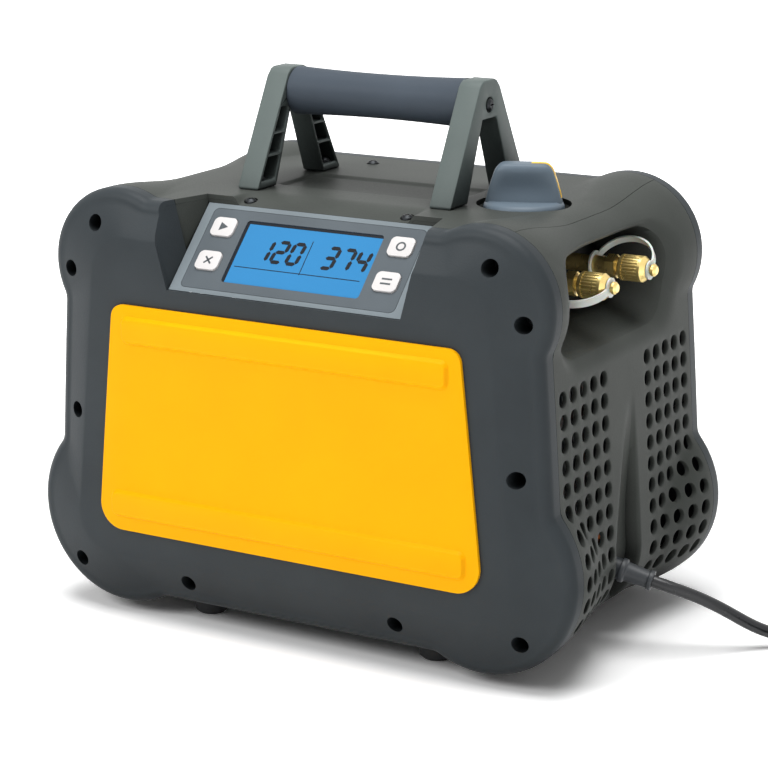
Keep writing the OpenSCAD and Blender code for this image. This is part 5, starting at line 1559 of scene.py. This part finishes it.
@dataclass
class Cord:
    """Mains lead: out of its relief, down to the floor, wound in a coil outside the view."""

    d: float = 8
    route: tuple = (
        (204, -4.3, 48.3), (212, -2.5, 46), (221, 1.5, 43), (234, 11, 36), (247, 22, 26), (258, 32, 16),
        (270, 42, 9), (283, 53, 5.6), (296, 64, 5))
    coil_at: tuple[float, float] = (340, 33)
    coil_start: tuple[float, float] = (-31, 41.7)
    coil_r: float = 52
    turns: int = 5
    shift: float = 30
    climb: tuple[float, float] = (760, 1040)
    step: float = 15
    lift: float = 1
    tail: float = 52

    def line(self) -> np.ndarray:
        """Centreline: the free stretch, turns inwards, turns outwards on top of them, and the tail.

        A turn keeps its radius and steps by one cord to the next over a short angle.

        Returns:
            The points, one to a row.
        """
        start = heading(np.array(self.coil_start))
        low, high = self.lift + self.d / 2, self.lift + 1.5 * self.d
        span = 360 * self.turns + start
        turn = np.linspace(0, span, int(span / self.step) + 1)
        wide, mid, tight = self.coil_r - self.d * np.arange(3)
        laps = 360 * np.arange(1, self.turns)[:, None] + [-self.shift, self.shift]
        radii = np.interp(turn, [0, *laps.ravel(), span], [
            wide, wide, mid, mid, tight, tight, tight, mid, wide, wide])
        height = np.interp(turn, [0, *self.climb, span], [low, low, high, high])
        angle = np.radians(start - turn)
        x, y = self.coil_at
        wound = np.stack([x + radii * np.cos(angle), y + radii * np.sin(angle), height], -1)
        tail = wound[-1] - np.linspace(0, 1, 5)[1:, None] * [0, self.tail, 0]
        return np.concatenate([np.array(self.route), wound, tail])

    def make(self) -> None:
        line = self.line()
        curve = bpy.data.curves.new("mains_cord", "CURVE")
        curve.dimensions = "3D"
        curve.bevel_depth = self.d / 2 * MM
        curve.bevel_resolution = 5
        curve.resolution_u = 6
        curve.use_fill_caps = True
        spline = curve.splines.new("NURBS")
        spline.points.add(len(line) - 1)
        spline.points.foreach_set("co", np.insert(line * MM, 3, 1, axis=1).ravel())
        spline.order_u = 4
        spline.use_endpoint_u = True
        piece = bpy.data.objects.new("mains_cord", curve)
        bpy.context.scene.collection.objects.link(piece)
        curve.materials.append(Look.JACKET.value.material())
        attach(piece, HOUSING)
        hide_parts("power_cord", "cord_coil")


# Camera, light and floor

@dataclass
class Studio:
    """Camera at the photograph's angle, a pale floor and soft light."""

    at: tuple[float, float, float] = (802.1, -1366.2, 573.9)
    azimuth: float = 30.592
    elevation: float = 14.909
    roll: float = -0.345
    focal_px: float = 2431.5
    frame_px: float = 768
    sensor: float = 36
    shift: tuple[float, float] = (0.0127, -0.0006)
    lamps: tuple = (
        ("key", (-1.1, -2.2, 1.9), 1.3, 36), ("fill", (2.4, -1.6, 0.9), 1.6, 4.3),
        ("top", (0.1, -0.15, 2.6), 1.8, 68))
    target: tuple[float, float, float] = (0, 0, 0.15)
    sky: float = 0.22
    floor_half: float = 9
    glow: float = 0.43
    glow_reach: tuple[float, float] = (0.45, 1.2)
    pale: float = 1.33
    haze: float = 2.4

    def camera(self) -> None:
        """Make the camera from its solved place and turn."""
        a, e, r = (math.radians(v) for v in (self.azimuth, self.elevation, self.roll))
        back = np.array([math.sin(a) * math.cos(e), -math.cos(a) * math.cos(e), math.sin(e)])
        right = np.array([math.cos(a), math.sin(a), 0])
        up = np.cross(back, right)
        across = math.cos(r) * right + math.sin(r) * up
        turn = np.eye(4)
        turn[:3, :3] = np.stack([across, np.cross(back, across), back], -1)
        turn[:3, 3] = np.array(self.at) * MM
        lens = bpy.data.cameras.new("photo_camera")
        lens.sensor_width = self.sensor
        lens.lens = self.focal_px * self.sensor / self.frame_px
        lens.shift_x, lens.shift_y = self.shift
        lens.clip_end = 30
        camera = bpy.data.objects.new("photo_camera", lens)
        camera.matrix_world = Matrix(turn.tolist())
        bpy.context.scene.collection.objects.link(camera)
        bpy.context.scene.camera = camera

    def lamp(self, name: str, at: tuple, size: float, power: float) -> None:
        """Add a square soft light that points at the target.

        Args:
            name: its name.
            at: its place in metres.
            size: its side in metres.
            power: its power in watts.
        """
        data = bpy.data.lights.new(name, "AREA")
        data.size = size
        data.energy = power
        lamp = bpy.data.objects.new(name, data)
        back = np.array(at) - self.target
        back /= np.linalg.norm(back)
        side = np.cross([0, 0, 1.0], back)
        side /= np.linalg.norm(side)
        turn = np.eye(4)
        turn[:3, :3] = np.stack([side, np.cross(back, side), back], -1)
        turn[:3, 3] = at
        lamp.matrix_world = Matrix(turn.tolist())
        bpy.context.scene.collection.objects.link(lamp)

    def seen(self, tree: bpy.types.NodeTree) -> bpy.types.NodeSocket:
        """Tell rays that show the background: from the camera, off gloss and through glass.

        Args:
            tree: the tree of the floor or the world.

        Returns:
            1 for a ray that shows it, otherwise 0.
        """
        path = add(tree, "ShaderNodeLightPath").outputs
        shown = path["Is Camera Ray"]
        for ray in ("Is Glossy Ray", "Is Transmission Ray"):
            shown = add(tree, "ShaderNodeMath", {0: shown, 1: path[ray]}, operation="MAXIMUM").outputs[0]
        return shown

    def light(self) -> None:
        """Soft key from the front left above, a weak fill, a broad lamp overhead and an even world."""
        for lamp in self.lamps:
            self.lamp(*lamp)
        world = bpy.context.scene.world or bpy.data.worlds.new("studio")
        bpy.context.scene.world = world
        world.use_nodes = True
        tree = world.node_tree
        tree.nodes.clear()
        power = add(tree, "ShaderNodeMapRange", {
            "Value": self.seen(tree), "To Min": self.sky, "To Max": 1.0}).outputs[0]
        sky = add(tree, "ShaderNodeBackground", {"Color": (1, 1, 1, 1), "Strength": power}).outputs[0]
        add(tree, "ShaderNodeOutputWorld", {"Surface": sky})
        bpy.context.scene.view_settings.view_transform = "Standard"

    def floor(self) -> None:
        """Pale floor that brightens away from the machine and keeps its shadow."""
        mesh = bpy.data.meshes.new("floor")
        corners = self.floor_half * np.array([[-1, -1, 0], [1, -1, 0], [1, 1, 0], [-1, 1, 0]])
        mesh.from_pydata(corners, [], [[0, 1, 2, 3]])
        floor = bpy.data.objects.new("floor", mesh)
        material = Finish("pale_floor", "#fafafa", 0.6, relief_mm=0, mottle=0.002).material()
        tree = material.node_tree
        place = add(tree, "ShaderNodeTexCoord").outputs["Object"]
        away = add(tree, "ShaderNodeVectorMath", {0: place}, operation="LENGTH").outputs["Value"]
        near, far = self.glow_reach
        glow = add(tree, "ShaderNodeMapRange", {
            "Value": away, "From Min": near, "From Max": far, "To Max": self.glow}).outputs[0]
        shader = tree.nodes["Principled BSDF"]
        shader.inputs["Emission Color"].default_value = (1, 1, 1, 1)
        tree.links.new(glow, shader.inputs["Emission Strength"])
        white = add(tree, "ShaderNodeBsdfDiffuse", {"Color": (*[self.pale] * 3, 1)}).outputs[0]
        bright = add(tree, "ShaderNodeMath", {0: glow, 1: self.haze}, operation="MULTIPLY").outputs[0]
        haze = add(tree, "ShaderNodeEmission", {"Strength": bright}).outputs[0]
        pale = add(tree, "ShaderNodeAddShader", {0: white, 1: haze}).outputs[0]
        shown = add(tree, "ShaderNodeMixShader", {
            0: self.seen(tree), 1: shader.outputs[0], 2: pale}).outputs[0]
        tree.links.new(shown, tree.nodes["Material Output"].inputs["Surface"])
        mesh.materials.append(material)
        bpy.context.scene.collection.objects.link(floor)


# Depth of the rear cover's face, which stands further out than the front cover's
REAR_FACE = 128.2

# Nodes that stay, by finish and radius of their rounded edges in millimetres
KEPT = (
    (Look.CHARCOAL, 0, "base_tray"),
    (Look.PLATED, 0, "chassis_plate", "mount_rails"),
    (Look.YELLOW, 0.7, "front_panel"),
    (Look.BEZEL, 0, "display_bezel"),
    (Look.FILM, 0, "display_overlay"),
    (Look.DISPLAY, 0, "lcd_screen"),
    (Look.KEY, 0.5, "start_button", "clear_button", "zero_button", "units_button"),
    (Look.BOARD, 0, "control_board", "power_board"),
    (Look.BLACK, 0, "button_switches", "fan", "fan_shroud"),
    (Look.STEEL, 0, "valve_spindle", "handle_tube", "foot_screws", "motor_shaft"),
    (Look.BRASS, 0, "valve_block", "inlet_port", "outlet_port", "inlet_cap", "outlet_cap",
     "pressure_sensors"),
    (Look.STRAP, 0, "inlet_cap_strap", "outlet_cap_strap"),
    (Look.SLATE, 1.6, "handle_bracket_left", "handle_bracket_right"),
    (Look.GRIP, 0, "handle_grip"),
    (Look.SCREW, 0, "handle_screws", "front_cover_screws", "rear_cover_screws", "top_cover_screws"),
    (Look.RUBBER, 0.6, "feet"),
    (Look.RUBBER, 0, "motor_mounts"),
    (Look.ENAMEL, 0, "motor_housing"),
    (Look.CASTING, 0, "crankcase", "cylinder_heads", "heat_sink"),
    (Look.COPPER, 0, "condenser_tubes", "suction_pipe", "discharge_pipe", "return_pipe"),
    (Look.FIN, 0, "condenser_fins"),
    (Look.RELIEF, 0.4, "strain_relief"),
    (Look.WEBBING, 0, "cord_tie"),
    (Look.JACKET, 0.5, "plug"))


def main() -> None:
    """Build everything in order: camera and cord, nodes that stay, housing, console, selector, light."""
    logging.basicConfig(level=logging.INFO, format="%(name)s: %(message)s")
    studio = Studio()
    studio.camera()
    Cord().make()
    for look, bevel, *nodes in KEPT:
        for node in nodes:
            soften(node, look, bevel)
    outline = Outline()
    console = Console()
    cover = Cover(outline)
    cover.make("front_cover_shell", "front_cover", console)
    PanelBars(cover).make()
    Cover(outline, sign=1, face=REAR_FACE).make("rear_cover_shell", "rear_cover")
    SidePanel(outline, 1, Bay()).make("right_panel_shell", "right_side_panel")
    SidePanel(outline, -1).make("left_panel_shell", "left_side_panel")
    TopCover(outline, console).make()
    display = Display(console)
    display.numbers()
    display.signs()
    Selector().make()
    studio.light()
    studio.floor()


if __name__ == "__main__":
    main()
